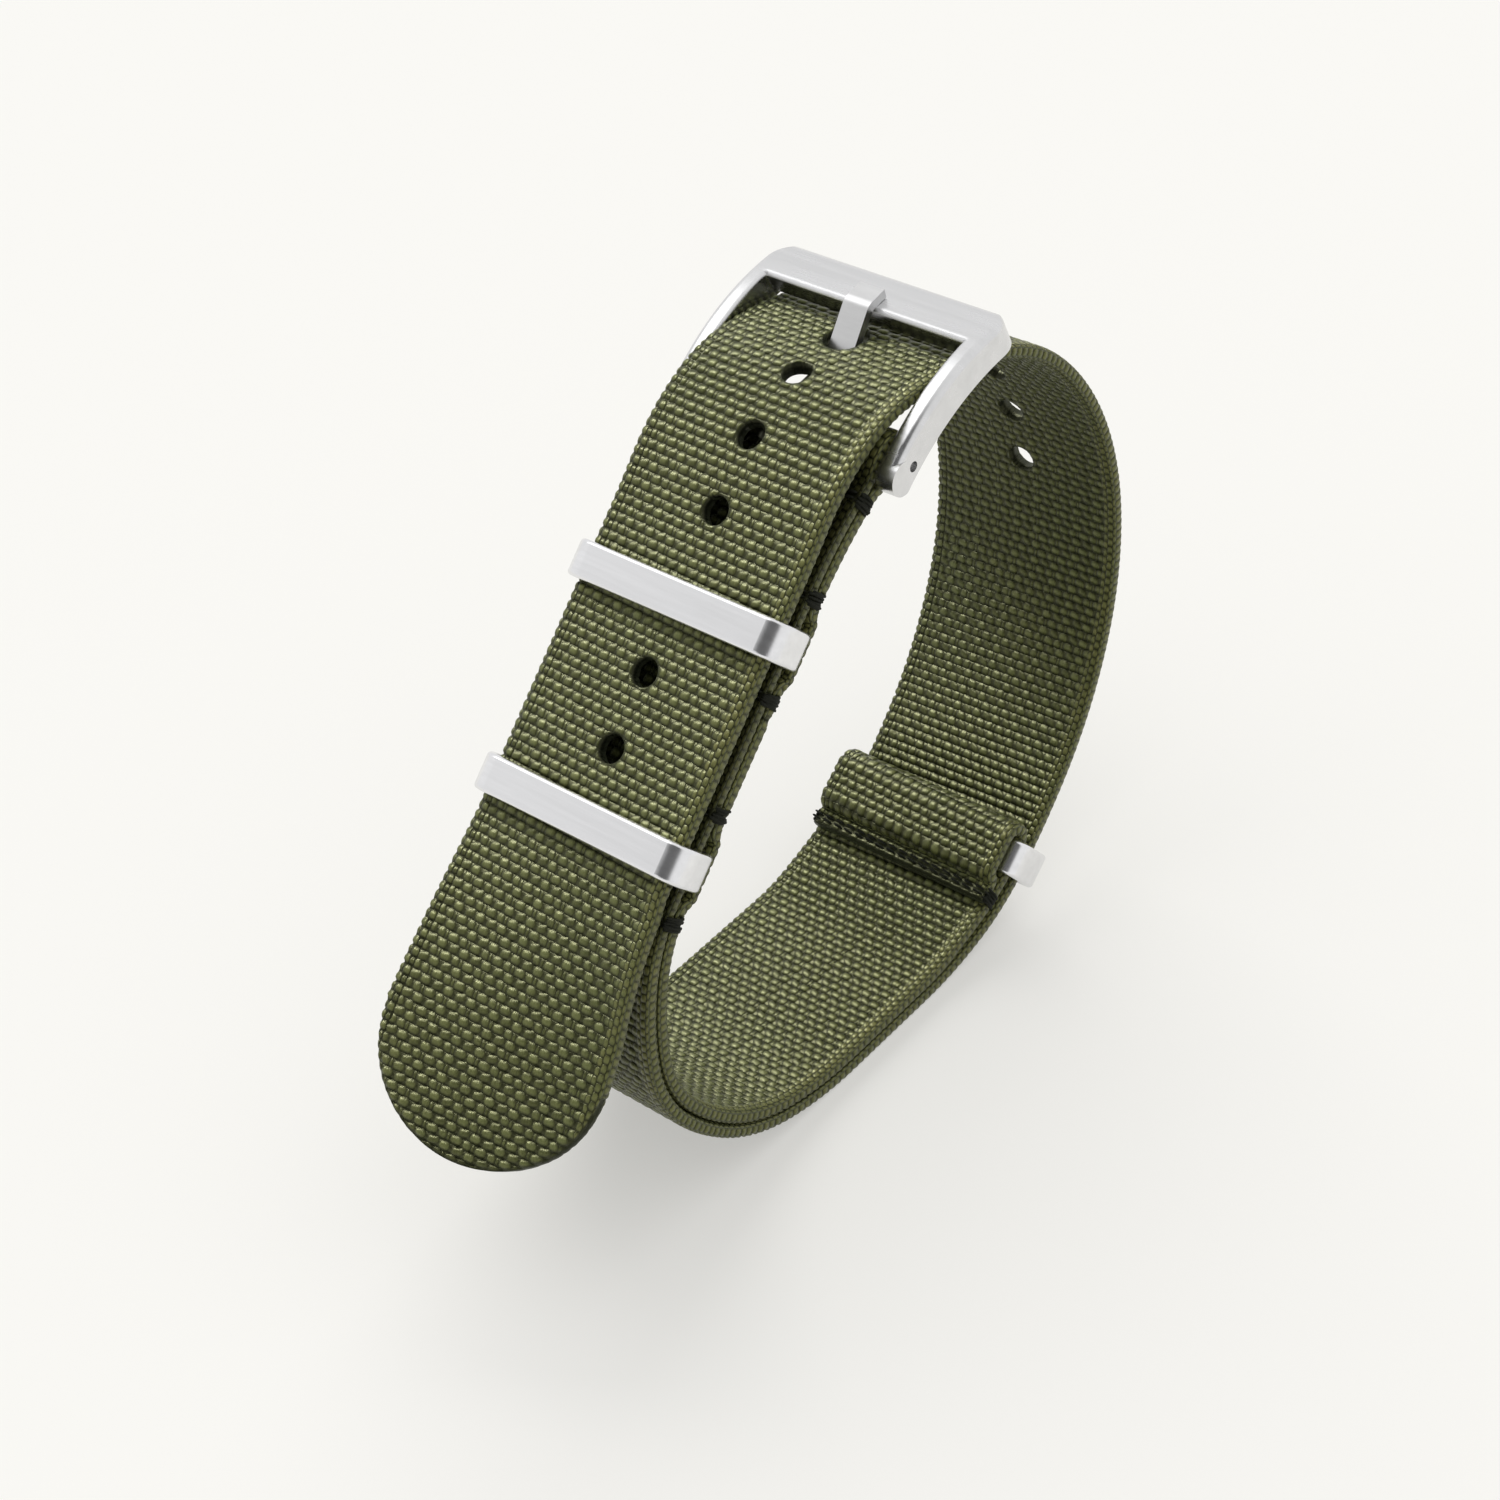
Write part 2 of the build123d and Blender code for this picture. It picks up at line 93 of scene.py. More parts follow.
RING_PLATE = 0.9
RING_H = 3.3
RING_LIFT = 0.55
RING_POCKET = 0.25
RING_PLAY = 0.45
RING_TUCK = 0.4
RING_FOLD_PAST = 0.9
ROW_F = 4.9
RING_LOW = WEB / 2 + RING_LIFT


def unit(angle):
    """The direction of an angle in degrees."""
    return math.cos(math.radians(angle)), math.sin(math.radians(angle))


def arc_to(start, end):
    """The arc that leaves a knot along its heading and ends at another knot's place."""
    tx, tz = unit(start[2])
    cx, cz = end[0] - start[0], end[1] - start[1]
    chord = math.hypot(cx, cz)
    bend = 2 * (tx * cz - tz * cx) / chord**2
    turn = 2 * math.atan2(tx * cz - tz * cx, tx * cx + tz * cz)
    length = chord if abs(bend) < TINY else turn / bend
    return start[0], start[1], start[2], length, bend


def piece_end(piece, along, side=0.0):
    """The knot at a distance along a piece, stepped to its left by a distance."""
    x, z, angle, _, bend = piece
    heading = angle + math.degrees(bend * along)
    tx, tz = unit(angle)
    ux, uz = unit(heading)
    if abs(bend) < TINY:
        px, pz = x + tx * along, z + tz * along
    else:
        px, pz = x + (uz - tz) / bend, z - (ux - tx) / bend
    return px - uz * side, pz + ux * side, heading


class Path:
    """Pieces that follow one another."""

    def __init__(self, pieces):
        self.pieces = pieces
        self.length = sum(p[3] for p in pieces)

    def at(self, along, side=0.0):
        """The knot at a distance along the path, stepped to its left by a distance."""
        for piece in self.pieces[:-1]:
            if along <= piece[3]:
                return piece_end(piece, along, side)
            along -= piece[3]
        return piece_end(self.pieces[-1], along, side)

    def part(self, first, last):
        """The stretch between two distances along the path."""
        kept, run = [], 0.0
        for piece in self.pieces:
            low, high = max(first - run, 0.0), min(last - run, piece[3])
            if high - low > TINY:
                kept.append((*piece_end(piece, low), high - low, piece[4]))
            run += piece[3]
        return Path(kept)

    def shifted(self, side):
        """The path stepped to its left all along."""
        return Path(
            [
                (*piece_end(p, 0.0, side), p[3] * (1 - p[4] * side), p[4] / (1 - p[4] * side))
                for p in self.pieces
            ]
        )

    def same_place(self, along, other):
        """The distance along a shifted copy of this path that lies over a distance along it."""
        over, run = 0.0, 0.0
        for piece, twin in zip(self.pieces, other.pieces):
            if along <= run + piece[3]:
                return over + (along - run) * twin[3] / piece[3]
            run, over = run + piece[3], over + twin[3]
        return over

    def __add__(self, other):
        return Path(self.pieces + other.pieces)


def through(knots):
    """A path with two arcs from each knot to the next."""
    pieces = []
    for a, b in zip(knots, knots[1:]):
        ax, az = unit(a[2])
        bx, bz = unit(b[2])
        vx, vz = b[0] - a[0], b[1] - a[1]
        reach, along = vx * vx + vz * vz, vx * (ax + bx) + vz * (az + bz)
        spread = 2 * (1 - ax * bx - az * bz)
        if spread < TINY:
            leg = reach / (2 * along)
        else:
            leg = (math.sqrt(along**2 + spread * reach) - along) / spread
        middle = ((a[0] + leg * ax + b[0] - leg * bx) / 2, (a[1] + leg * az + b[1] - leg * bz) / 2)
        first = arc_to(a, middle)
        pieces += [first, arc_to(piece_end(first, first[3]), b)]
    return Path(pieces)


def turned(knot, angle):
    """A knot turned on the spot."""
    return knot[0], knot[1], knot[2] + angle


def place(x_share, z_share, heading):
    """A knot at shares of the loop's width and height."""
    return x_share * LOOP_W, z_share * LOOP_H, heading


# The seam runs between the base's two layers, from the spring bar to the bottom of the loop.

bend_way = unit((BAR[2] + BASE_HEADING) / 2)
base_top = (BAR[0] + bend_way[0] * BASE_BEND, BAR[1] + bend_way[1] * BASE_BEND, BASE_HEADING)
foot_z = WEB + PLY / 2
seam = through(
    [
        BAR,
        base_top,
        piece_end((*base_top, BASE_STRAIGHT, 0.0), BASE_STRAIGHT),
        place(-0.447, 0.314, 270.0),
        place(-0.3455, 0.106, 318.0),
        (-0.112 * LOOP_W, foot_z, 360.0),
        (0.045 * LOOP_W, foot_z, 360.0),
    ]
)
ring_knot = place(0.274, 0.084, 398.0)
outer_base = seam.shifted(-HALF_PLY)
outer_low = through([outer_base.at(outer_base.length), ring_knot])
arch_start = seam.pieces[0][3] + seam.pieces[1][3]
keeper_upper_at = (ROW_B + ROW_C) / 2
keeper_lower_at = (ROW_D + ROW_E) / 2
pocket_half = KEEPER_H / 2 + KEEPER_TRAVEL
fold_start = ROW_A - THREAD_BAND


def pocket(centre, side):
    """Knots of the layer that stands off the seam over a keeper's back bar."""
    lifted = side + KEEPER_PLATE + 2 * POCKET_CLEAR - PLY / 2
    low, high = centre - pocket_half, centre + pocket_half
    places = [(low - POCKET_RAMP, side), (low, lifted), (high, lifted), (high + POCKET_RAMP, side)]
    return [seam.at(*spot) for spot in places]


def tail_knot(along):
    """The tail's knot over a distance along the seam."""
    return turned(seam.at(along, -(PLY / 2 + WEB + TAIL_GAP + WEB / 2)), 360)


def long_path():
    """The long strap's middle line: its fold round the spring bar, the base, the loop and the tail."""
    fold = [seam.at(ROW_C + FOLD_PAST, HALF_PLY)] + pocket(keeper_upper_at, HALF_PLY)[::-1]
    fold += [seam.at(fold_start, HALF_PLY), seam.at(0.0, BAR_WRAP)]
    knots = [turned(knot, -180) for knot in fold]
    fx, fz = unit(BAR[2] - 180)
    knots += [
        (BAR[0] + fx * BAR_WRAP, BAR[1] + fz * BAR_WRAP, BAR[2] - 90),
        seam.at(0.0, -BAR_WRAP),
        seam.at(fold_start, -HALF_PLY),
    ]
    base = outer_base.part(seam.same_place(fold_start, outer_base), outer_base.length)
    end = tail_knot(arch_start + BASE_STRAIGHT)
    loop = through(
        [
            ring_knot,
            place(0.371, 0.176, 406.0),
            (0.533 * LOOP_W - WEB / 2, 0.564 * LOOP_H, 450.0),
            place(0.418, 0.865, 491.0),
            (0.114 * LOOP_W, LOOP_H - WEB / 2, 540.0),
            place(-0.010, 0.9428, 575.0),
            tail_knot(arch_start),
            end,
        ]
    )
    droop = (*end, TAIL_BEND, math.radians(TAIL_DROOP) / TAIL_BEND)
    free = (*piece_end(droop, TAIL_BEND), TAIL_FREE - TAIL_BEND, 0.0)
    return through(knots) + base + outer_low + loop + Path([droop, free])


def short_path():
    """The short strap's middle line: under the base, along the bottom and round the ring keeper."""
    side = HALF_PLY
    sewn = through([seam.at(ROW_C + FOLD_PAST + BUTT_GAP, side)] + pocket(keeper_lower_at, side))
    inner = seam.shifted(side)
    after = keeper_lower_at + pocket_half + POCKET_RAMP
    bottom = inner.part(seam.same_place(after, inner), inner.length)
    low = WEB + RING_LIFT
    bar = low + WEB / 2 + RING_POCKET + RING_PLATE / 2
    high = 2 * bar - low
    reach = RING_H / 2 + RING_PLAY
    front = RING_H / 2 - RING_TUCK
    lapped = low + WEB + PLY

    def back(distance, step):
        return outer_low.at(outer_low.length - distance, step)

    def ahead(distance, step):
        tx, tz = unit(ring_knot[2])
        x, z = ring_knot[0] + tx * distance - tz * step, ring_knot[1] + tz * distance + tx * step
        return x, z, ring_knot[2]

    fold = through(
        [
            bottom.at(bottom.length),
            back(ROW_F + reach, low),
            back(reach, low),
            ahead(front, low),
            turned(ahead(front + bar - low, bar), 90),
            turned(ahead(front, high), 180),
            turned(back(reach, high), 180),
            turned(back(ROW_F - RING_FOLD_PAST, lapped), 180),
            turned(back(ROW_F + RING_FOLD_PAST, lapped), 180),
        ]
    )
    return sewn + bottom + fold


long_line, short_line = long_path(), short_path()

# The CAD model lies this much further along x than the routes, as its box shows.

bar_low, bar_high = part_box("bar_tube")
SHIFT = (bar_low.x + bar_high.x) / 2 / MM - BAR[0]

# The weave: rows of bumps, one row every ROW_PITCH, in a pattern two rows long and CELL wide. The rows run
# a little askew, and past SELVAGE the two edges have bumps of their own.

ROW_PITCH = 0.80
CELL = 2.19
SKEW = 0.035
RELIEF = 0.22
SELVAGE = 8.75

# Each bump: place across and along, half width and half length, slant, height.

BUMPS = [
    (0.74, 0.0, 0.52, 0.44, 0.06, 1.0),
    (1.77, 0.0, 0.55, 0.41, 0.24, 0.86),
    (0.0, 0.8, 0.56, 0.43, 0.10, 0.96),
    (0.67, 0.8, 0.15, 0.38, 0.0, 0.84),
    (1.21, 0.8, 0.42, 0.43, 0.0, 0.93),
]
FAR_BUMPS = [
    (9.12, 0.0, 0.36, 0.42, 0.0, 1.0),
    (9.05, 0.8, 0.22, 0.34, 0.0, 0.85),
    (9.55, 0.8, 0.30, 0.42, 0.0, 1.0),
    (9.62, 0.0, 0.16, 0.34, 0.0, 0.8),
    (10.2, 0.0, 0.36, 0.40, 0.0, 1.0),
    (10.2, 0.8, 0.36, 0.40, 0.0, 1.0),
]
NEAR_BUMPS = [
    (8.98, 0.0, 0.22, 0.38, 0.0, 1.0),
    (9.42, 0.4, 0.22, 0.38, 0.0, 1.0),
    (9.86, 0.0, 0.22, 0.38, 0.0, 1.0),
    (10.3, 0.4, 0.24, 0.36, 0.0, 1.0),
]

# The powers that shape a bump across and along, the height and half width of the ridge that joins a row's
# bumps, and how high the near edge stands between its bumps.

SQUARE = 4.0
ROUND = 2.0
RIDGE = 0.55
RIDGE_HALF = 0.38
NEAR_FLOOR = 0.45


def wrapped(value, period):
    """A value brought within half a period of zero."""
    return (value + period / 2) % period - period / 2


def bump_height(dx, dy, a, b, slant, top):
    """The height of one bump at a distance across and along from its middle."""
    r = (np.abs(dx) / a) ** SQUARE + (np.abs(dy - slant * dx) / b) ** ROUND
    return top * np.sqrt(np.maximum(1 - r, 0))


def weave_height(v, s):
    """How high the weave stands, 0 to 1, at a place across and along the webbing."""
    along = s + SKEW * v
    high, far, near = np.zeros_like(v), np.zeros_like(v), np.zeros_like(v)
    for x, y, *shape in BUMPS:
        bump = bump_height(wrapped(v - x, CELL), wrapped(along - y, 2 * ROW_PITCH), *shape)
        high = np.maximum(high, bump)
    for x, y, *shape in FAR_BUMPS:
        far = np.maximum(far, bump_height(v - x, wrapped(along - y, 2 * ROW_PITCH), *shape))
    for x, y, *shape in NEAR_BUMPS:
        near = np.maximum(near, bump_height(-v - x, wrapped(along - y, ROW_PITCH), *shape))
    near = NEAR_FLOOR + (1 - NEAR_FLOOR) * near
    ridge = 1 - (wrapped(along, ROW_PITCH) / RIDGE_HALF) ** 2
    high = np.maximum(high, RIDGE * np.sqrt(np.maximum(ridge, 0)))
    return np.where(v > SELVAGE, far, np.where(v < -SELVAGE, near, high))


# The webbing's mesh: a section of flat faces and rolled edges, carried along a path.

STEP_ALONG = 0.23
STEP_ACROSS = 0.24
EDGE_POINTS = 7
EDGE_SQUARE = 0.62


def section_points():
    """The cross-section as a closed ring, and the number of points on each flat face.

    Each row is a place across, the sideways and the upward share of the normal, and the arc length across.
    """
    half = WEB / 2
    flat = WIDTH / 2 - half
    count = round(2 * flat / STEP_ACROSS) + 1
    across = np.linspace(-flat, flat, count)
    angles = np.radians(np.arange(1, EDGE_POINTS + 1) * (180 / (EDGE_POINTS + 1)))
    arc = flat + np.minimum(angles, math.pi - angles) * half
    out = np.sin(angles) ** EDGE_SQUARE
    up = np.sign(np.cos(angles)) * np.abs(np.cos(angles)) ** EDGE_SQUARE
    ring = [(v, 0.0, 1.0, v) for v in across]
    ring += [(flat, a, b, u) for a, b, u in zip(out, up, arc)]
    ring += [(-v, 0.0, -1.0, -v) for v in across]
    ring += [(-flat, -a, -b, -u) for a, b, u in zip(out, up, arc)]
    return np.array(ring), count


def round_hole(x, radius):
    """Signed distance from a round hole at a distance along the strap."""
    return lambda s, v: np.hypot(s - x, v) - radius


def slot_hole(x, long, wide):
    """Signed distance from a slot with round ends."""
    return lambda s, v: np.hypot(np.maximum(np.abs(s - x) - (long - wide) / 2, 0), v) - wide / 2


def box_hole(low, high, wide, corner):
    """Signed distance from an oblong hole with rounded corners."""
    middle, half = (low + high) / 2, (high - low) / 2

    def distance(s, v):
        ds, dv = np.abs(s - middle) - half + corner, np.abs(v) - wide / 2 + corner
        outside = np.hypot(np.maximum(ds, 0), np.maximum(dv, 0))
        return outside + np.minimum(np.maximum(ds, dv), 0) - corner

    return distance


# Over a keeper's back bar the wrist face bulges by SQUEEZED at most. The other two say how far past the
# pocket's ramps, and how deep, the stations concerned lie.

SQUEEZED = 0.25
POCKET_END = 0.5
POCKET_DEEP = 2.0


def squeezed(knots):
    """How much each station's wrist face is drawn in over a keeper's bar, signed by its side."""
    x, z, turn = knots[:, 0], knots[:, 1], np.radians(knots[:, 2])
    reach = pocket_half + POCKET_RAMP + POCKET_END
    drawn = np.zeros(len(knots))
    for centre in (keeper_upper_at, keeper_lower_at):
        x0, z0, heading = seam.at(centre)
        tx, tz = unit(heading)
        along = (x - x0) * tx + (z - z0) * tz
        aside = (z - z0) * tx - (x - x0) * tz
        lift = np.clip(aside - HALF_PLY, 0, None)
        there = (np.abs(along) < reach) & (aside > 0) & (aside < POCKET_DEEP)
        side = -np.sign(np.cos(turn - math.radians(heading)))
        drawn += np.where(there, side * (lift - SQUEEZED * np.tanh(lift / SQUEEZED)), 0)
    return drawn


# The groove that a row of stitches pulls into the webbing. Its weave is painted dark as shade in the groove,
# with the colour of the sealed ends.

GROOVE_NEAR = 0.3
GROOVE_HALF = 0.30
GROOVE_DEEP = 0.12
GROOVE_SHADE = 0.95


def grooves(stations, knots):
    """How deep each station lies in the groove of a row of stitches, 0 to 1."""
    rows = (ROW_A, ROW_B, ROW_C, ROW_D, ROW_E)
    places = [seam.at(row, side) for row in rows for side in (-HALF_PLY, HALF_PLY)]
    for layer in (RING_LOW, RING_LOW + WEB + PLY):
        places.append(outer_low.at(outer_low.length - ROW_F, layer + WEB / 2))
    depth = np.zeros(len(stations))
    for x, z, _ in places:
        away = np.hypot(knots[:, 0] - x, knots[:, 1] - z)
        nearest = int(np.argmin(away))
        if away[nearest] < GROOVE_NEAR:
            depth = np.maximum(depth, np.exp(-(((stations - stations[nearest]) / GROOVE_HALF) ** 2)))
    return depth


# The free tail's twist: how far it leaves its straight run and how steeply it tilts at the tip, how both
# grow towards the tip, and the room that it keeps over the base.

TWIST_START = 0.5
TWIST_ASIDE = 0.65
TWIST_ASIDE_GROWTH = 4
TWIST_TILT = 0.30
TWIST_TILT_GROWTH = 1.6
TWIST_CLEAR = 0.12
TWIST_ROOM = 0.0126


def twisted(back, v):
    """How far the soft tail leaves its straight run, from the distance to its tip and the place across."""
    free = np.clip(1 - back / (TAIL_FREE - TWIST_START), 0, 1)
    aside = TWIST_ASIDE * (1 - (1 - free) ** TWIST_ASIDE_GROWTH)
    tilt = TWIST_TILT * (1 - (1 - free) ** TWIST_TILT_GROWTH)
    room = TAIL_GAP - TWIST_CLEAR + TWIST_ROOM * np.clip(TAIL_FREE - back, 0, None) ** 2
    return np.maximum(-aside + tilt * v, -room)


# Cut ends are sealed by heat, which flattens the weave and thins them.

SEAL = 0.35
SEAL_SPREAD = 1.5
SEAL_THIN = 0.12
MELT_FLAT = 0.6

# The rims of the holes are sealed too, on the flat faces alone.

RIM = 0.22
RIM_HIGH = 0.55
RIM_MELT = 0.6
FLAT_UP = 0.99

# The round tip: its rows, the angle of the last one, and how its seal starts past the straight edges.

TIP_ROWS = 70
TIP_LAST = 88.5
TIP_EASE = 0.3
TIP_EASE_OVER = 2

# How points are moved onto a hole's outline.

RIM_ROUNDS = 3
NUDGE = 1e-3
SMALLEST_SLOPE = 1e-6


def on_face(size, count):
    """Which quads of a section's ring lie on its two flat faces."""
    flat = np.zeros(size, bool)
    flat[: count - 1] = True
    flat[size // 2 : size // 2 + count - 1] = True
    return flat


def rim_points(hit):
    """The points that have both a cut and a whole quad beside them."""
    rows, size = hit.shape
    touched = np.zeros((rows + 1, size), bool)
    inside = np.ones((rows + 1, size), bool)
    for ds in (0, 1):
        for dv in (0, 1):
            beside = np.roll(hit, dv, 1)
            touched[ds : rows + ds] |= beside
            inside[ds : rows + ds] &= beside
    return touched & ~inside


def drawn_to_rim(distance, s, v, rim):
    """Moves the rim's points onto a hole's outline, down the slope of its distance."""
    for _ in range(RIM_ROUNDS):
        d = distance(s, v)
        slope_s = (distance(s + NUDGE, v) - distance(s - NUDGE, v)) / (2 * NUDGE)
        slope_v = (distance(s, v + NUDGE) - distance(s, v - NUDGE)) / (2 * NUDGE)
        size = np.maximum(slope_s**2 + slope_v**2, SMALLEST_SLOPE)
        s = np.where(rim, s - d * slope_s / size, s)
        v = np.where(rim, v - d * slope_v / size, v)
    return s, v


def webbing(name, path, phase, holes=(), round_tip=False):
    """A strip of woven webbing along a path: relief, rolled edges, sealed ends and open holes."""
    section, count = section_points()
    middle, out, up, arc = section.T
    size = len(section)
    radius = WIDTH / 2
    total = path.length
    stations = np.linspace(0, total, round(total / STEP_ALONG) + 1)
    shrink = 1.0
    if round_tip:
        turns = np.radians(np.linspace(0, TIP_LAST, TIP_ROWS))
        before_tip = stations[stations < total - radius]
        stations = np.concatenate([before_tip, total - radius + radius * np.sin(turns)])
        over = np.clip(stations[:, None] - (total - radius), 0, radius)
        shrink = np.sqrt(np.maximum(radius**2 - over**2, 0)) / radius
    knots = np.array([path.at(s) for s in stations])
    s = np.repeat(stations[:, None], size, 1)
    arc = np.ones((len(stations), 1)) * arc * shrink
    face = np.repeat(up[None, :], len(stations), 0)

    high = weave_height(arc, s + phase)
    seal = np.minimum(s, total - s)
    if round_tip:
        over = s - total + radius
        ease = TIP_EASE * np.clip(1 - over / TIP_EASE_OVER, 0, 1)
        seal = np.where(over > 0, radius - np.hypot(over, arc) + ease, s)
    melt_and_shade = np.clip(1 - seal / SEAL, 0, 1)
    for distance in holes:
        rim = np.clip(1 - distance(s, arc) / RIM, 0, 1) * (np.abs(up) > FLAT_UP)
        high = high * (1 - rim) + RIM_HIGH * rim
        melt_and_shade = np.maximum(melt_and_shade, RIM_MELT * rim)
    groove = grooves(stations, knots)[:, None]
    deep = WEB / 2 - RELIEF * (1 - high) * (1 - MELT_FLAT * melt_and_shade)
    deep = deep - SEAL_THIN * np.clip(SEAL_SPREAD - seal / SEAL, 0, 1) - GROOVE_DEEP * groove
    # The grooves join the sealed places' mark as painted shade.
    melt_and_shade = np.maximum(melt_and_shade, GROOVE_SHADE * groove)

    v = middle * shrink + out * deep * shrink
    drawn = squeezed(knots)[:, None]
    thick = up * deep - drawn * np.clip(np.sign(drawn) * up, 0, 1)
    cut = np.zeros((len(stations) - 1, size), bool)
    for distance in holes:
        quad_s = (s[:-1] + s[1:]) / 2
        quad_v = (v[:-1] + np.roll(v, -1, 1)[:-1]) / 2
        hit = (distance(quad_s, quad_v) < 0) & on_face(size, count)
        cut |= hit
        s, v = drawn_to_rim(distance, s, v, rim_points(hit))
    if round_tip:
        thick = thick + twisted(total - s, v)

    x, z, heading = (np.repeat(values[:, None], size, 1) for values in knots.T)
    for spot in zip(*np.nonzero(s != stations[:, None])):
        x[spot], z[spot], heading[spot] = path.at(s[spot])
    turn = np.radians(heading)
    x = (x + np.sin(turn) * thick + SHIFT) * MM
    z = (z - np.cos(turn) * thick) * MM
    weave = np.stack([arc, s + phase, face], -1)
    return strip_mesh(name, np.stack([x, v * MM, z], -1), cut, weave, melt_and_shade, count)


def linked(name, data):
    """A new object in the scene."""
    thing = bpy.data.objects.new(name, data)
    bpy.context.scene.collection.objects.link(thing)
    return thing


def add_number(mesh, name, domain, values):
    """A number on each point or face of a mesh."""
    attribute = mesh.attributes.new(name, "FLOAT", domain)
    attribute.data.foreach_set("value", np.asarray(values, np.float32).ravel())


def strip_mesh(name, points, cut, weave, melt_and_shade, count):
    """The strip's object, from its grid of points and the quads that its holes leave out.

    The weave is each point's arc length across, its distance along and the side that it lies on.
    """
    rows, size = points.shape[:2]
    index = np.arange(rows * size).reshape(rows, size)
    beside = np.roll(index, -1, 1)
    quads = np.stack([index[:-1], index[1:], beside[1:], beside[:-1]], -1)[~cut].tolist()
    walls = hole_walls(cut, index, count)
    caps = end_cap(index[0], count, False) + end_cap(index[-1], count, True)
    mesh = bpy.data.meshes.new(name)
    mesh.from_pydata(points.reshape(-1, 3).tolist(), [], quads + walls + caps)
    attribute = mesh.attributes.new("weave", "FLOAT_VECTOR", "POINT")
    attribute.data.foreach_set("vector", weave.astype(np.float32).ravel())
    add_number(mesh, "melt_and_shade", "POINT", melt_and_shade)
    add_number(mesh, "wall", "FACE", [0.0] * len(quads) + [1.0] * len(walls) + [0.0] * len(caps))
    mesh.polygons.foreach_set("use_smooth", [True] * len(mesh.polygons))
    mesh.update()
    clean(mesh)
    return linked(name, mesh)


def end_cap(row, count, flip):
    """Quads that close a strip's end between its two faces."""
    size = len(row)
    reach = EDGE_POINTS // 2 + 1
    last = size // 2 + count - 1
    ring = [k % size for k in range(-reach, count + reach)]
    other = [(last - k) % size for k in range(-reach, count + reach)]
    quads = []
    for k in range(len(ring) - 1):
        quad = [row[ring[k]], row[ring[k + 1]], row[other[k + 1]], row[other[k]]]
        quad = [int(p) for i, p in enumerate(quad) if p not in quad[:i]]
        if len(quad) > 2:
            quads.append(quad[::-1] if flip else quad)
    return quads


def hole_walls(cut, index, count):
    """Quads through the thickness along the rims of the holes."""
    walls = []
    last = index.shape[1] // 2 + count - 1
    rows, cols = np.nonzero(cut[:, : count - 1])
    for r, c in zip(rows.tolist(), cols.tolist()):
        sides = [
            ((r - 1, c), (r, c), (r, c + 1)),
            ((r + 1, c), (r + 1, c + 1), (r + 1, c)),
            ((r, c - 1), (r + 1, c), (r, c)),
            ((r, c + 1), (r, c + 1), (r + 1, c + 1)),
        ]
        for beside, p, q in sides:
            if not cut[beside]:
                corners = (p, q, (q[0], last - q[1]), (p[0], last - p[1]))
                walls.append([int(index[corner]) for corner in corners])
    return walls


def clean(mesh):
    """Drops loose points and makes the faces' directions agree."""
    work = bmesh.new()
    work.from_mesh(mesh)
    loose = [v for v in work.verts if not v.link_faces]
    bmesh.ops.delete(work, geom=loose, context="VERTS")
    bmesh.ops.recalc_face_normals(work, faces=work.faces)
    work.to_mesh(mesh)
    work.free()


# Materials


# The colour sockets of a Mix node.

MIX_A = 6
MIX_B = 7
MIX_OUT = 2


class Nodes:
    """Short hands for building a material's node tree."""

    def __init__(self, name):
        self.material = bpy.data.materials.new(name)
        self.material.use_nodes = True
        self.tree = self.material.node_tree
        self.shader = self.tree.nodes["Principled BSDF"]

    def new(self, kind, **settings):
        node = self.tree.nodes.new(kind)
        for key, value in settings.items():
            setattr(node, key, value)
        return node

    def put(self, value, socket):
        """Links a value to a socket, or writes it there."""
        if hasattr(value, "is_output"):
            self.tree.links.new(value, socket)
        else:
            socket.default_value = value

    def set(self, **values):
        """Sets the shader's sockets by name, with underscores for spaces."""
        for key, value in values.items():
            self.put(value, self.shader.inputs[key.replace("_", " ")])

    def attribute(self, name):
        """A number that the mesh carries."""
        return self.new("ShaderNodeAttribute", attribute_name=name).outputs["Fac"]

    def split(self, vector):
        """A vector's three numbers."""
        node = self.new("ShaderNodeSeparateXYZ")
        self.put(vector, node.inputs[0])
        return node.outputs

    def math(self, operation, a, b=0.0, c=0.0):
        node = self.new("ShaderNodeMath", operation=operation)
        for value, socket in zip((a, b, c), node.inputs):
            self.put(value, socket)
        return node.outputs[0]

    def blend(self, share, a, b):
        """A number that goes from a to b with a share."""
        return self.math("MULTIPLY_ADD", share, self.math("SUBTRACT", b, a), a)

    def mix(self, factor, a, b, blend="MIX"):
        node = self.new("ShaderNodeMix", data_type="RGBA", blend_type=blend)
        self.put(factor, node.inputs[0])
        self.put(a, node.inputs[MIX_A])
        self.put(b, node.inputs[MIX_B])
        return node.outputs[MIX_OUT]

    def ramp(self, factor, stops):
        node = self.new("ShaderNodeValToRGB")
        elements = node.color_ramp.elements
        while len(elements) < len(stops):
            elements.new(0.5)
        for element, (position, colour) in zip(elements, stops):
            element.position = position
            element.color = colour
        self.put(factor, node.inputs[0])
        return node.outputs[0]

    def noise(self, vector, scale, detail=2.0, rough=0.5):
        node = self.new("ShaderNodeTexNoise")
        self.put(vector, node.inputs["Vector"])
        node.inputs["Scale"].default_value = scale
        node.inputs["Detail"].default_value = detail
        node.inputs["Roughness"].default_value = rough
        return node.outputs["Fac"]

    def scaled(self, vector, factors, turn=0.0):
        node = self.new("ShaderNodeMapping")
        self.put(vector, node.inputs["Vector"])
        node.inputs["Rotation"].default_value = (0, 0, turn)
        node.inputs["Scale"].default_value = factors
        return node.outputs[0]

    def bump(self, height, strength, distance, normal=None):
        node = self.new("ShaderNodeBump")
        node.inputs["Strength"].default_value = strength
        node.inputs["Distance"].default_value = distance
        self.put(height, node.inputs["Height"])
        if normal is not None:
            self.put(normal, node.inputs["Normal"])
        return node.outputs[0]


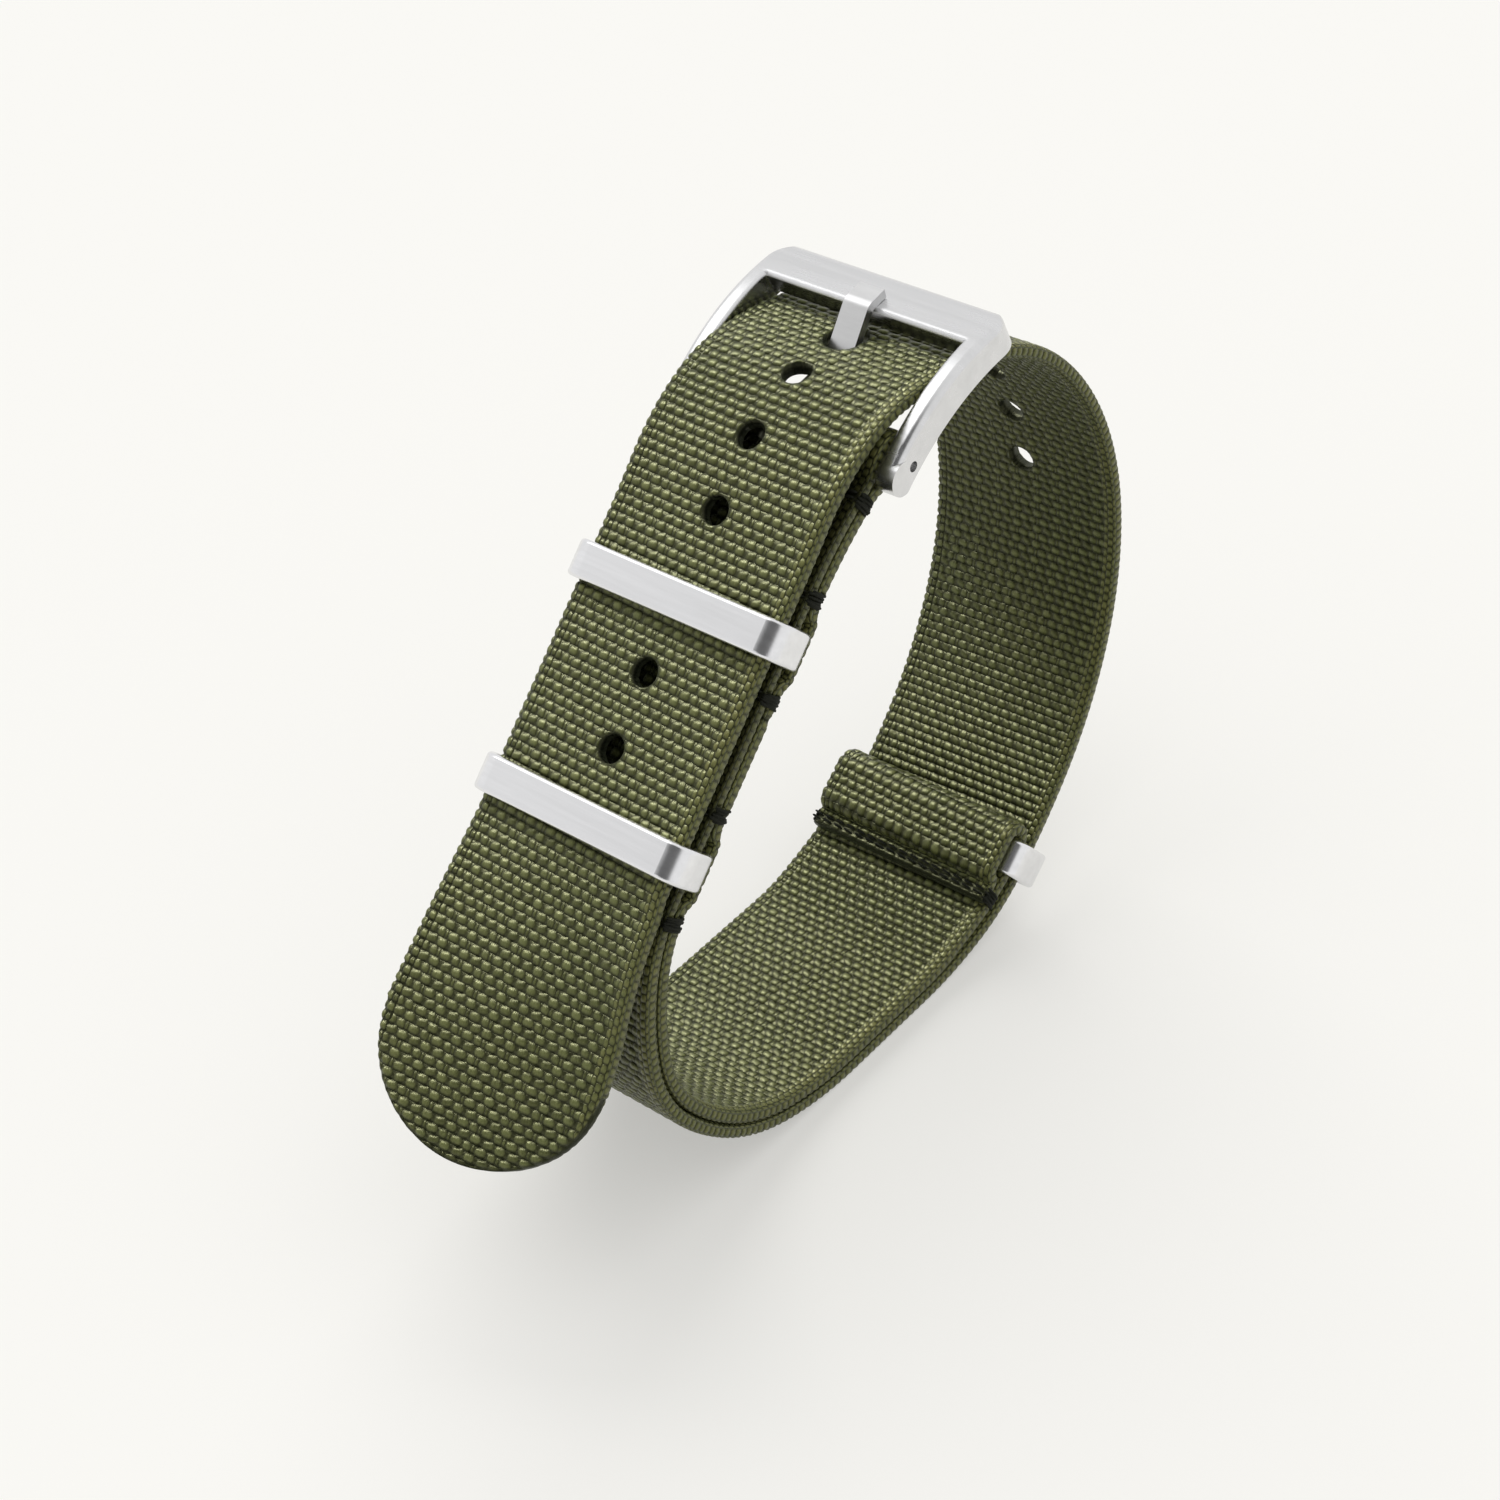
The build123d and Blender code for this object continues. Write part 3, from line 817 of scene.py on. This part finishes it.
def node_height(n, v, along, bumps, row_period, repeated=False):
    """The bumps' height as nodes, shaped as in the mesh."""
    high = None
    for x, y, a, b, slant, top in bumps:
        dx = n.math("SUBTRACT", v, x)
        if repeated:
            dx = n.math("WRAP", dx, CELL / 2, -CELL / 2)
        dy = n.math("WRAP", n.math("SUBTRACT", along, y), row_period / 2, -row_period / 2)
        dy = n.math("MULTIPLY_ADD", dx, -slant, dy)
        rx = n.math("POWER", n.math("DIVIDE", n.math("ABSOLUTE", dx), a), SQUARE)
        ry = n.math("POWER", n.math("DIVIDE", n.math("ABSOLUTE", dy), b), ROUND)
        cap = n.math("SUBTRACT", 1.0, n.math("ADD", rx, ry))
        cap = n.math("MULTIPLY", n.math("SQRT", n.math("MAXIMUM", cap, 0.0)), top)
        high = cap if high is None else n.math("MAXIMUM", high, cap)
    return high


def node_weave(n, v, along, at_far, at_near):
    """The whole weave's height as nodes: the faces and the two edges."""
    main = node_height(n, v, along, BUMPS, 2 * ROW_PITCH, repeated=True)
    ridge = n.math("DIVIDE", n.math("WRAP", along, ROW_PITCH / 2, -ROW_PITCH / 2), RIDGE_HALF)
    ridge = n.math("MAXIMUM", n.math("SUBTRACT", 1.0, n.math("MULTIPLY", ridge, ridge)), 0.0)
    main = n.math("MAXIMUM", main, n.math("MULTIPLY", n.math("SQRT", ridge), RIDGE))
    far = node_height(n, v, along, FAR_BUMPS, 2 * ROW_PITCH)
    near = node_height(n, n.math("MULTIPLY", v, -1.0), along, NEAR_BUMPS, ROW_PITCH)
    near = n.math("MULTIPLY_ADD", near, 1 - NEAR_FLOOR, NEAR_FLOOR)
    return n.blend(at_near, n.blend(at_far, main, far), near)


# Colours of the webbing, linear and with an alpha of 1. A cast multiplies the colour under it.

# The weave's colour by its height: near black in the gaps between the bumps, as painted shade, up to olive
# on their tops.
WEAVE_TONES_AND_GAP_SHADE = [
    (0.3, (0.003, 0.004, 0.001, 1)),
    (0.6, (0.026, 0.028, 0.009, 1)),
    (0.8, (0.078, 0.083, 0.028, 1)),
    (1.0, (0.180, 0.190, 0.074, 1)),
]
COOL_CAST = (0.92, 1.0, 0.95, 1)
WARM_CAST = (1.08, 1.0, 0.86, 1)
BROWN_CAST = (1.25, 0.98, 0.72, 1)
# A painted shade for the base's face under the tail.
COVERED_SHADE_CAST = (0.22, 0.22, 0.22, 1)
EDGE_HIGHLIGHT_GREEN = (0.125, 0.135, 0.078, 1)
MELT_AND_SHADE_GREEN = (0.030, 0.034, 0.018, 1)
HOLE_WALL_SHADE = (0.010, 0.011, 0.007, 1)
WEAVE_GLOSS = (0.98, 1.0, 0.53, 1)
WEAVE_SHEEN = (0.75, 0.85, 0.5, 1)

# A pale line along the near edge is a painted highlight where the rim catches light, this far from the
# middle and this wide to each side.

LINE_AT = 10.05
LINE_HALF = 0.08

# Three noises, stretched across and along: fine fibres, the grain of single bumps, and broad patches.

FIBRE_SCALE = (12.0, 2.5, 1.0)
FIBRE_TURN = 0.3
GRAIN_SCALE = (1.0, 1.25, 1.0)
BROAD_SCALE = (0.06, 0.05, 1.0)
WARM_OFFSET = -0.2
BROWN_GRAIN = 0.8
BROWN_OFFSET = -0.2
# Sealed places, and the stitches' grooves as painted shade, flatten to this height and take this share of
# their dark colour.
MELT_AND_SHADE_HIGH = 0.35
MELT_AND_SHADE_SHARE = 0.8
FIBRE_TONE = 0.50
GRAIN_TONE = 0.35
WEAVE_ROUGH = 0.44
WEAVE_SMOOTHER = -0.10
WEAVE_SPECULAR = 0.55
DULL_SPECULAR = -0.45
WEAVE_BUMP = 0.00024
FIBRE_BUMP = 0.00006


def webbing_material():
    """Olive woven nylon, from the place across and along that the mesh carries."""
    n = Nodes("webbing")
    weave = n.new("ShaderNodeAttribute", attribute_name="weave")
    v, s, face = n.split(weave.outputs["Vector"])
    along = n.math("MULTIPLY_ADD", v, SKEW, s)
    at_far = n.math("GREATER_THAN", v, SELVAGE)
    at_near = n.math("LESS_THAN", v, -SELVAGE)
    melt_and_shade = n.attribute("melt_and_shade")
    high = n.blend(melt_and_shade, node_weave(n, v, along, at_far, at_near), MELT_AND_SHADE_HIGH)

    combine = n.new("ShaderNodeCombineXYZ")
    for value, socket in zip((v, along, face), combine.inputs):
        n.put(value, socket)
    cloth = combine.outputs[0]
    fibres = n.noise(n.scaled(cloth, FIBRE_SCALE, FIBRE_TURN), scale=1.0, detail=3.0, rough=0.6)
    grain = n.noise(n.scaled(cloth, GRAIN_SCALE), scale=0.9)
    broad = n.noise(n.scaled(cloth, BROAD_SCALE), scale=1.0, detail=3.0)

    tone = n.math("MULTIPLY_ADD", n.math("SUBTRACT", fibres, 0.5), FIBRE_TONE, high)
    tone = n.math("MULTIPLY_ADD", n.math("SUBTRACT", grain, 0.5), GRAIN_TONE, tone)
    # The colour darkens with the weave's depth: painted shade in its gaps.
    colour = n.ramp(tone, WEAVE_TONES_AND_GAP_SHADE)
    warm = n.mix(n.math("MULTIPLY_ADD", broad, 1.0, WARM_OFFSET), COOL_CAST, WARM_CAST)
    colour = n.mix(1.0, colour, warm, "MULTIPLY")
    brown = n.math("MULTIPLY", at_near, n.math("MULTIPLY_ADD", grain, BROWN_GRAIN, BROWN_OFFSET))
    colour = n.mix(brown, colour, n.mix(1.0, colour, BROWN_CAST, "MULTIPLY"))
    from_line = n.math("SUBTRACT", n.math("ABSOLUTE", n.math("ADD", v, LINE_AT)), LINE_HALF)
    colour = n.mix(n.math("LESS_THAN", from_line, 0.0), colour, EDGE_HIGHLIGHT_GREEN)
    # Sealed places take their own dark colour. The stitches' grooves take it as painted shade.
    colour = n.mix(n.math("MULTIPLY", melt_and_shade, MELT_AND_SHADE_SHARE), colour, MELT_AND_SHADE_GREEN)
    # The holes' walls are near black: their sealed cut, painted darker still as shade in the holes.
    colour = n.mix(n.attribute("wall"), colour, HOLE_WALL_SHADE)
    # The base's face under the tail is painted darker, as painted shade.
    under_tail_shade = n.attribute("under_tail_shade")
    colour = n.mix(under_tail_shade, colour, n.mix(1.0, colour, COVERED_SHADE_CAST, "MULTIPLY"))

    dull = n.math("MAXIMUM", melt_and_shade, under_tail_shade)
    n.set(Base_Color=colour)
    n.set(Roughness=n.math("MULTIPLY_ADD", high, WEAVE_SMOOTHER, WEAVE_ROUGH))
    relief = n.bump(high, strength=1.0, distance=WEAVE_BUMP)
    n.set(Normal=n.bump(fibres, strength=0.5, distance=FIBRE_BUMP, normal=relief))
    n.set(Specular_IOR_Level=n.math("MULTIPLY_ADD", dull, DULL_SPECULAR, WEAVE_SPECULAR))
    n.set(Specular_Tint=WEAVE_GLOSS)
    n.set(Sheen_Weight=0.10, Sheen_Roughness=0.45, Sheen_Tint=WEAVE_SHEEN)
    return n.material


THREAD_DARK = (0.005, 0.006, 0.004, 1)
THREAD_PALE = (0.022, 0.024, 0.014, 1)
THREAD_BUMP = 0.00005
TWIST_SCALE = (9000, 3500, 9000)
TWIST_TURN = 0.6


def thread_material():
    """Dark sewing thread, its twist drawn by stretched noise."""
    n = Nodes("thread")
    spot = n.new("ShaderNodeTexCoord").outputs["Object"]
    twist = n.noise(n.scaled(spot, TWIST_SCALE, TWIST_TURN), scale=1.0, detail=3.0)
    n.set(Base_Color=n.ramp(twist, [(0.25, THREAD_DARK), (0.8, THREAD_PALE)]))
    n.set(Normal=n.bump(twist, strength=0.6, distance=THREAD_BUMP))
    n.set(Roughness=0.7, Specular_IOR_Level=0.2)
    return n.material


# The wall of the outer bar that faces the strap is painted a darker grey, as painted shade and a painted
# dark reflection: its outward direction, half its width in millimetres, and how quickly it starts as the
# surface turns that way.

WALL_FACING = (-0.94, 0.0, -0.342)
WALL_HALF = 10.2
WALL_START = 10.0
WALL_OFFSET = -8.8
OPENING_WALL_SHADE = (0.30, 0.30, 0.31, 1)

# Shading rounds the buckle's edges up to this distance from the middle. Past it, on the arms' outer faces
# with their bores, the edges stay as they are.

SOFT_WITHIN = 10.9
SOFT_EDGE = 0.00045

# How much the brushing changes the steel's colour and roughness, and a faint cloud its roughness.

STEEL_TONES = (0.94, 1.04)
BRUSH_ROUGH = 0.10
BRUSH_BUMP = 0.00002
CLOUD_ROUGH = 0.05
CLOUD_SCALE = 260.0


def opening_wall(n):
    """Where the outer bar's wall faces the strap through the buckle's opening, for its painted shade."""
    coordinates = n.new("ShaderNodeTexCoord")
    facing = n.new("ShaderNodeVectorMath", operation="DOT_PRODUCT")
    n.put(coordinates.outputs["Normal"], facing.inputs[0])
    facing.inputs[1].default_value = WALL_FACING
    across = n.split(coordinates.outputs["Object"])[1]
    between = n.math("LESS_THAN", n.math("ABSOLUTE", across), WALL_HALF * MM)
    turned_in = n.math("MULTIPLY_ADD", facing.outputs["Value"], WALL_START, WALL_OFFSET)
    return n.math("MULTIPLY", between, n.math("MINIMUM", n.math("MAXIMUM", turned_in, 0.0), 1.0))


def softened(n, spot, radius):
    """A normal that rounds the edges, except on the arms' outer faces."""
    bevel = n.new("ShaderNodeBevel", samples=6)
    inside = n.math("LESS_THAN", n.math("ABSOLUTE", n.split(spot)[1]), SOFT_WITHIN * MM)
    n.put(n.math("MULTIPLY", inside, radius), bevel.inputs["Radius"])
    return bevel.outputs[0]


def steel_material(name, colour, rough, brushed, strength, inner=None, soft_edge=None):
    """Stainless steel, brushed by stretched noise."""
    n = Nodes(name)
    spot = n.new("ShaderNodeTexCoord").outputs["Object"]
    lines = n.noise(n.scaled(spot, brushed), scale=1.0, detail=4.0, rough=0.65)
    cloud = n.noise(spot, scale=CLOUD_SCALE)
    dull, bright = [(*(value * share for value in colour), 1) for share in STEEL_TONES]
    shade = n.ramp(lines, [(0.3, dull), (0.7, bright)])
    if inner is not None:
        # The wall facing the strap is painted darker: painted shade and reflection.
        shade = n.mix(inner(n), shade, OPENING_WALL_SHADE)
    n.set(Metallic=1.0, Base_Color=shade)
    streaks = n.math("MULTIPLY_ADD", lines, BRUSH_ROUGH, rough - BRUSH_ROUGH / 2)
    n.set(Roughness=n.math("MULTIPLY_ADD", cloud, CLOUD_ROUGH, streaks))
    rounded = None if soft_edge is None else softened(n, spot, soft_edge)
    n.set(Normal=n.bump(lines, strength, BRUSH_BUMP, rounded))
    return n.material


web = webbing_material()
thread = thread_material()


def dress(piece, body, material, node):
    """Gives a piece its material and its body, and hides the solid that it stands for."""
    piece.data.materials.clear()
    piece.data.materials.append(material)
    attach(piece, body)
    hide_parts(node)


# The holes, from the tail's tip: seven at one pitch and six more at another. Three stand further back in
# the photograph than an even pitch puts them.

HOLE_FIRST = 35.4
HOLE_PITCH = 6.55
HOLE_COUNT = 7
NEXT_PITCH = 5.95
NEXT_COUNT = 6
HOLES_BACK = {3: 0.8, 4: 0.7, 5: 0.5}
HOLE_RADIUS = 1.25

# The tongue's hole is drawn out to a slot. The slot and the notch in the spring bar's fold clear the tongue
# at its limits.

TONGUE_HOLE = 6
SLOT_LONG = 4.2
SLOT_WIDE = 3.2
NOTCH_WIDE = 3.2
NOTCH_CORNER = 0.4
NOTCH_SHARE = 0.8

# The fold before the spring bar has two arcs between each of its seven knots.

FOLD_PIECES = 12

# The base's face under the tail is painted darker, as painted shade where the tail covers it: how far this
# runs past the straight base, how softly it ends, and its share at the middle of the rolled edge.

COVER_PAST = 6
COVER_FADE = 3
COVER_EDGE = 0.45


def hole_places():
    """The distance of each hole along the long strap."""
    places = [HOLE_FIRST + HOLE_PITCH * count for count in range(HOLE_COUNT)]
    places += [places[-1] + NEXT_PITCH * (count + 1) for count in range(NEXT_COUNT)]
    for index, further in HOLES_BACK.items():
        places[index] += further
    return [long_line.length - spot for spot in places]


def shade_under_tail(piece, first, last):
    """Marks the outer face between two distances along a strap, where the tail lies over it, for painted
    shade.
    """
    weave = np.zeros(len(piece.data.vertices) * 3, np.float32)
    piece.data.attributes["weave"].data.foreach_get("vector", weave)
    _, s, face = weave.reshape(-1, 3).T
    from_ends = np.clip(np.minimum(s - first, last - s) / COVER_FADE, 0, 1)
    outward = np.clip(COVER_EDGE + (1 - COVER_EDGE) * face, 0, 1)
    add_number(piece.data, "under_tail_shade", "POINT", from_ends * outward)


bar_turn = sum(p[3] for p in long_line.pieces[:FOLD_PIECES])
bar_turned = bar_turn + math.pi * BAR_WRAP
notch_back = (ROW_A - THREAD_BAND / 2) * NOTCH_SHARE
spots = hole_places()
holes = [round_hole(spot, HOLE_RADIUS) for k, spot in enumerate(spots) if k != TONGUE_HOLE]
holes.append(slot_hole(spots[TONGUE_HOLE], SLOT_LONG, SLOT_WIDE))
holes.append(box_hole(bar_turn - notch_back, bar_turned + notch_back, NOTCH_WIDE, NOTCH_CORNER))

long_piece = webbing("long_webbing", long_line, 0.0, holes, round_tip=True)
shade_under_tail(long_piece, bar_turned, bar_turned + arch_start + BASE_STRAIGHT + COVER_PAST)
dress(long_piece, "strap", web, "long_strap")

SHORT_PHASE = 0.3
short_piece = webbing("short_webbing", short_line, SHORT_PHASE)
dress(short_piece, "strap", web, "short_strap")

# Stitches: two lines of thread on each outer face at every row, with a tuft at both ends.

TUBE_SIDES = 6
TUBE_UP = (0.13, 0.31, 0.94)
DOME = 6
DOME_LEAST = 0.02
STITCH_PITCH = 1.25
STITCH_SHARE = 0.92
STITCH_LINES = (-0.22, 0.22)
STITCH_FIRST = 0.35
STITCH_LAST = 0.4
STITCH_RISE = 0.12
STITCH_SUNK = 0.14
STITCH_SLANT = 0.14
STITCH_STRAY = 0.03
STITCH_POINTS = 7
STITCH_RADIUS = 0.11
TUFT_STRANDS = 14
TUFT_POINTS = 9
TUFT_RADIUS = 0.12
TUFT_IN = 0.25
TUFT_OUT = 0.2
TUFT_REACH = 0.15
TUFT_FURTHER = 0.25
TUFT_DEPTH = (0.55, 0.95)
# The tufts spread wider along the strap than the thread alone would, so that their dark thread also stands
# for the shade beside the rows, a painted shade.
TUFT_SPREAD = 0.60
TUFT_SWAY = 0.06
TUFT_LEAN = 3
FIRST_SEED = 11
RING_SEED = 31


def tube_along(points, radius):
    """Points and faces of a round tube with domed ends along a few points."""
    tangent = np.gradient(points, axis=0)
    tangent /= np.linalg.norm(tangent, axis=1)[:, None]
    first = np.cross(tangent, TUBE_UP)
    first /= np.linalg.norm(first, axis=1)[:, None]
    second = np.cross(tangent, first)
    turn = np.radians(np.arange(TUBE_SIDES) * 360 / TUBE_SIDES)[None, :, None]
    share = np.linspace(0, 1, len(points))
    thick = radius * np.sqrt(np.clip(1 - (2 * share - 1) ** DOME, DOME_LEAST, 1))
    spokes = first[:, None] * np.cos(turn) + second[:, None] * np.sin(turn)
    rings = points[:, None] + thick[:, None, None] * spokes
    faces = []
    for r in range(len(points) - 1):
        for k in range(TUBE_SIDES):
            a, b = r * TUBE_SIDES + k, r * TUBE_SIDES + (k + 1) % TUBE_SIDES
            faces.append((a, b, b + TUBE_SIDES, a + TUBE_SIDES))
    faces.append(tuple(range(TUBE_SIDES))[::-1])
    faces.append(tuple((len(points) - 1) * TUBE_SIDES + k for k in range(TUBE_SIDES)))
    return rings.reshape(-1, 3), faces


def gather(name, tubes):
    """One object from many tubes."""
    coords, faces, start = [], [], 0
    for points, quads in tubes:
        coords.append(points)
        faces += [tuple(start + k for k in quad) for quad in quads]
        start += len(points)
    mesh = bpy.data.meshes.new(name)
    mesh.from_pydata((np.concatenate(coords) * MM).tolist(), [], faces)
    mesh.polygons.foreach_set("use_smooth", [True] * len(mesh.polygons))
    mesh.update()
    return linked(name, mesh)


def stitch_row(name, knot, low, high, seed):
    """Stitches on both outer faces of the layers between two steps to the left of a knot."""
    chance = np.random.default_rng(seed)
    tx, tz = unit(knot[2])
    along, across, side = np.array([tx, 0, tz]), (0, 1, 0), np.array([-tz, 0, tx])
    origin = np.array([knot[0] + SHIFT, 0, knot[1]])
    tubes = []
    share = np.linspace(0, 1, STITCH_POINTS)
    rise = np.sin(share * math.pi) * STITCH_RISE - STITCH_SUNK
    for face, out in ((high, 1.0), (low, -1.0)):
        for line in STITCH_LINES:
            y = -WIDTH / 2 + STITCH_FIRST
            while y < WIDTH / 2 - STITCH_LAST:
                path = (
                    origin
                    + along * (line + chance.normal(0, STITCH_STRAY))
                    + np.outer(share * (STITCH_PITCH * STITCH_SHARE) + y, across)
                    + np.outer(face + out * rise, side)
                    + np.outer((share - 0.5) * STITCH_SLANT, along)
                )
                tubes.append(tube_along(path, STITCH_RADIUS))
                y += STITCH_PITCH
    share = np.linspace(0, 1, TUFT_POINTS)
    angle = share * math.pi
    for end in (-1, 1):
        for _ in range(TUFT_STRANDS):
            lean = chance.normal(0, TUFT_SWAY)
            reach = TUFT_REACH + chance.uniform(0, TUFT_FURTHER)
            depth = (high - low) / 2 * chance.uniform(*TUFT_DEPTH)
            sideways = WIDTH / 2 - TUFT_IN + np.sin(angle) * (reach + TUFT_OUT)
            path = (
                origin
                + along * chance.uniform(-TUFT_SPREAD, TUFT_SPREAD)
                + np.outer(end * sideways, across)
                + np.outer((high + low) / 2 - np.cos(angle) * depth, side)
                + np.outer(share * lean * TUFT_LEAN, along)
            )
            tubes.append(tube_along(path, TUFT_RADIUS))
    return gather(name, tubes)


reach = WEB + PLY / 2
base_rows = {"a": ROW_A, "b": ROW_B, "c": ROW_C, "d": ROW_D, "e": ROW_E}
for number, (letter, along) in enumerate(base_rows.items()):
    piece = stitch_row(f"stitches_{letter}", seam.at(along), -reach, reach, FIRST_SEED + number)
    dress(piece, "strap", thread, f"stitch_row_{letter}")
ring_row = outer_low.at(outer_low.length - ROW_F)
piece = stitch_row("stitches_f", ring_row, RING_LOW, RING_LOW + 2 * WEB + PLY, RING_SEED)
dress(piece, "strap", thread, "stitch_row_f")

# Steel: colour, roughness, how the brushing is stretched, and how strongly it shows.

frame_steel = steel_material(
    "frame_steel", (0.70, 0.70, 0.705), 0.24, (900, 40, 900), 0.10, inner=opening_wall, soft_edge=SOFT_EDGE
)
keeper_steel = steel_material("keeper_steel", (0.80, 0.80, 0.81), 0.22, (1400, 60, 1400), 0.10)
tongue_steel = steel_material("tongue_steel", (0.67, 0.67, 0.67), 0.30, (1500, 300, 1500), 0.12)
bar_steel = steel_material("bar_steel", (0.70, 0.70, 0.70), 0.25, (1500, 100, 1500), 0.08)
steels = {
    "buckle_frame": frame_steel,
    "tongue": tongue_steel,
    "bar_tube": bar_steel,
    "bar_pin_near": bar_steel,
    "bar_pin_far": bar_steel,
    "bar_spring": bar_steel,
    "keeper_upper": keeper_steel,
    "keeper_lower": keeper_steel,
    "ring_keeper": keeper_steel,
}
for node, material in steels.items():
    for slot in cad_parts[node].material_slots:
        slot.material = material

# The floor. The camera and reflections see it pale, partly by its own light. To all other light it is
# grey, so that it throws little light back at the strap.

FLOOR_HALF = 2.0
PALE = (0.955, 0.947, 0.915)
FLOOR_GREY = (0.30, 0.30, 0.29, 1)
OWN_LIGHT = 0.45


def floor_material():
    """A pale floor that keeps the strap's shadow."""
    n = Nodes("floor")
    ray = n.new("ShaderNodeLightPath").outputs
    seen = n.math("MAXIMUM", ray["Is Camera Ray"], ray["Is Glossy Ray"])
    lit = (*(value * (1 - OWN_LIGHT) for value in PALE), 1)
    n.set(Base_Color=n.mix(seen, FLOOR_GREY, lit), Roughness=0.9, Specular_IOR_Level=0.1)
    n.set(Emission_Color=(*PALE, 1), Emission_Strength=n.math("MULTIPLY", seen, OWN_LIGHT))
    return n.material


corners = [(x * FLOOR_HALF, y * FLOOR_HALF, 0) for x, y in ((-1, -1), (1, -1), (1, 1), (-1, 1))]
floor_mesh = bpy.data.meshes.new("floor")
floor_mesh.from_pydata(corners, [], [(0, 1, 2, 3)])
floor = linked("floor", floor_mesh)
floor.data.materials.append(floor_material())

# The studio: a pale background for the camera, a bright and a dark patch for reflections, and for the rest
# of the light a plain sky that is brightest overhead.

KEY = Vector((0.60, 0.50, 0.62)).normalized()
GLOSS = Vector((0.18, 0.57, 0.80)).normalized()
EDGE_LIGHT = Vector((-0.03, 0.57, 0.82)).normalized()
FLAG = Vector((-0.66, -0.12, 0.74)).normalized()
BACKGROUND = (0.955, 0.947, 0.913, 1)
SKY_TOP = 0.84
SKY_LEAST = 0.16

world = bpy.data.worlds.new("studio")
bpy.context.scene.world = world
world.use_nodes = True
tree = world.node_tree


def world_node(kind, values=(), **settings):
    """A node of the world's tree, with values or links on its first sockets."""
    node = tree.nodes.new(kind)
    for key, value in settings.items():
        setattr(node, key, value)
    for socket, value in zip(node.inputs, values):
        if hasattr(value, "is_output"):
            tree.links.new(value, socket)
        elif value is not None:
            socket.default_value = value
    return node


def lobe(direction, low, high, base, peak):
    """Brightness that goes smoothly from base to peak towards one direction of the studio."""
    toward = world_node("ShaderNodeVectorMath", (around, direction), operation="DOT_PRODUCT")
    values = (toward.outputs["Value"], low, high, base, peak)
    return world_node("ShaderNodeMapRange", values, interpolation_type="SMOOTHSTEP").outputs[0]


around = world_node("ShaderNodeTexCoord").outputs["Generated"]
bright = lobe(EDGE_LIGHT, low=0.93, high=0.985, base=0.94, peak=2.2)
dark = lobe(FLAG, low=0.765, high=0.90, base=1.0, peak=0.13)
overhead = world_node("ShaderNodeSeparateXYZ", (around,)).outputs[2]
sky = world_node("ShaderNodeMath", (overhead, SKY_TOP, SKY_LEAST), operation="MULTIPLY_ADD").outputs[0]
shown = world_node("ShaderNodeMath", (bright, dark), operation="MULTIPLY").outputs[0]
rays = world_node("ShaderNodeLightPath").outputs
light = world_node("ShaderNodeMix", (rays["Is Glossy Ray"], None, sky, shown)).outputs[0]
colour = world_node("ShaderNodeMix", data_type="RGBA")
tree.links.new(rays["Is Camera Ray"], colour.inputs[0])
tree.links.new(light, colour.inputs[MIX_A])
colour.inputs[MIX_B].default_value = BACKGROUND
tree.links.new(colour.outputs[MIX_OUT], tree.nodes["Background"].inputs["Color"])

LAMP_COLOUR = (1.0, 0.99, 0.965)


def lamp(name, direction, energy, angle):
    """A sun lamp that shines from a direction, as wide as an angle in degrees."""
    sun = bpy.data.lights.new(name, "SUN")
    sun.energy = energy
    sun.angle = math.radians(angle)
    sun.color = LAMP_COLOUR
    thing = linked(name, sun)
    thing.rotation_mode = "QUATERNION"
    thing.rotation_quaternion = (-direction).to_track_quat("-Z", "Y")
    return thing


lamp("key", KEY, energy=1.4, angle=55.0).visible_glossy = False

# A second lamp from the same side gives only the webbing's gloss.

gloss = lamp("gloss", GLOSS, energy=3.8, angle=18.0)
gloss.visible_diffuse = False
cloth = bpy.data.collections.new("cloth")
for piece in (long_piece, short_piece):
    cloth.objects.link(piece)
gloss.light_linking.receiver_collection = cloth

# The camera, placed as the photograph shows: its directions, and its place in millimetres.

EYE_RIGHT = Vector((0.6431, -0.7586, -0.1046))
EYE_DOWN = Vector((-0.5374, -0.3497, -0.7674))
EYE_AT = Vector((-141.4 + SHIFT, -137.4, 188.7)) * MM
LENS = 71.64
SENSOR = 36.0
CLIP_NEAR = 0.01
CLIP_FAR = 10.0

camera = bpy.data.cameras.new("camera")
camera.lens = LENS
camera.sensor_width = SENSOR
camera.clip_start = CLIP_NEAR
camera.clip_end = CLIP_FAR
eye = linked("camera", camera)
turn = Matrix((EYE_RIGHT, -EYE_DOWN, EYE_RIGHT.cross(-EYE_DOWN))).transposed().to_4x4()
eye.matrix_world = Matrix.Translation(EYE_AT) @ turn
scene = bpy.context.scene
scene.camera = eye
scene.view_settings.view_transform = "Standard"
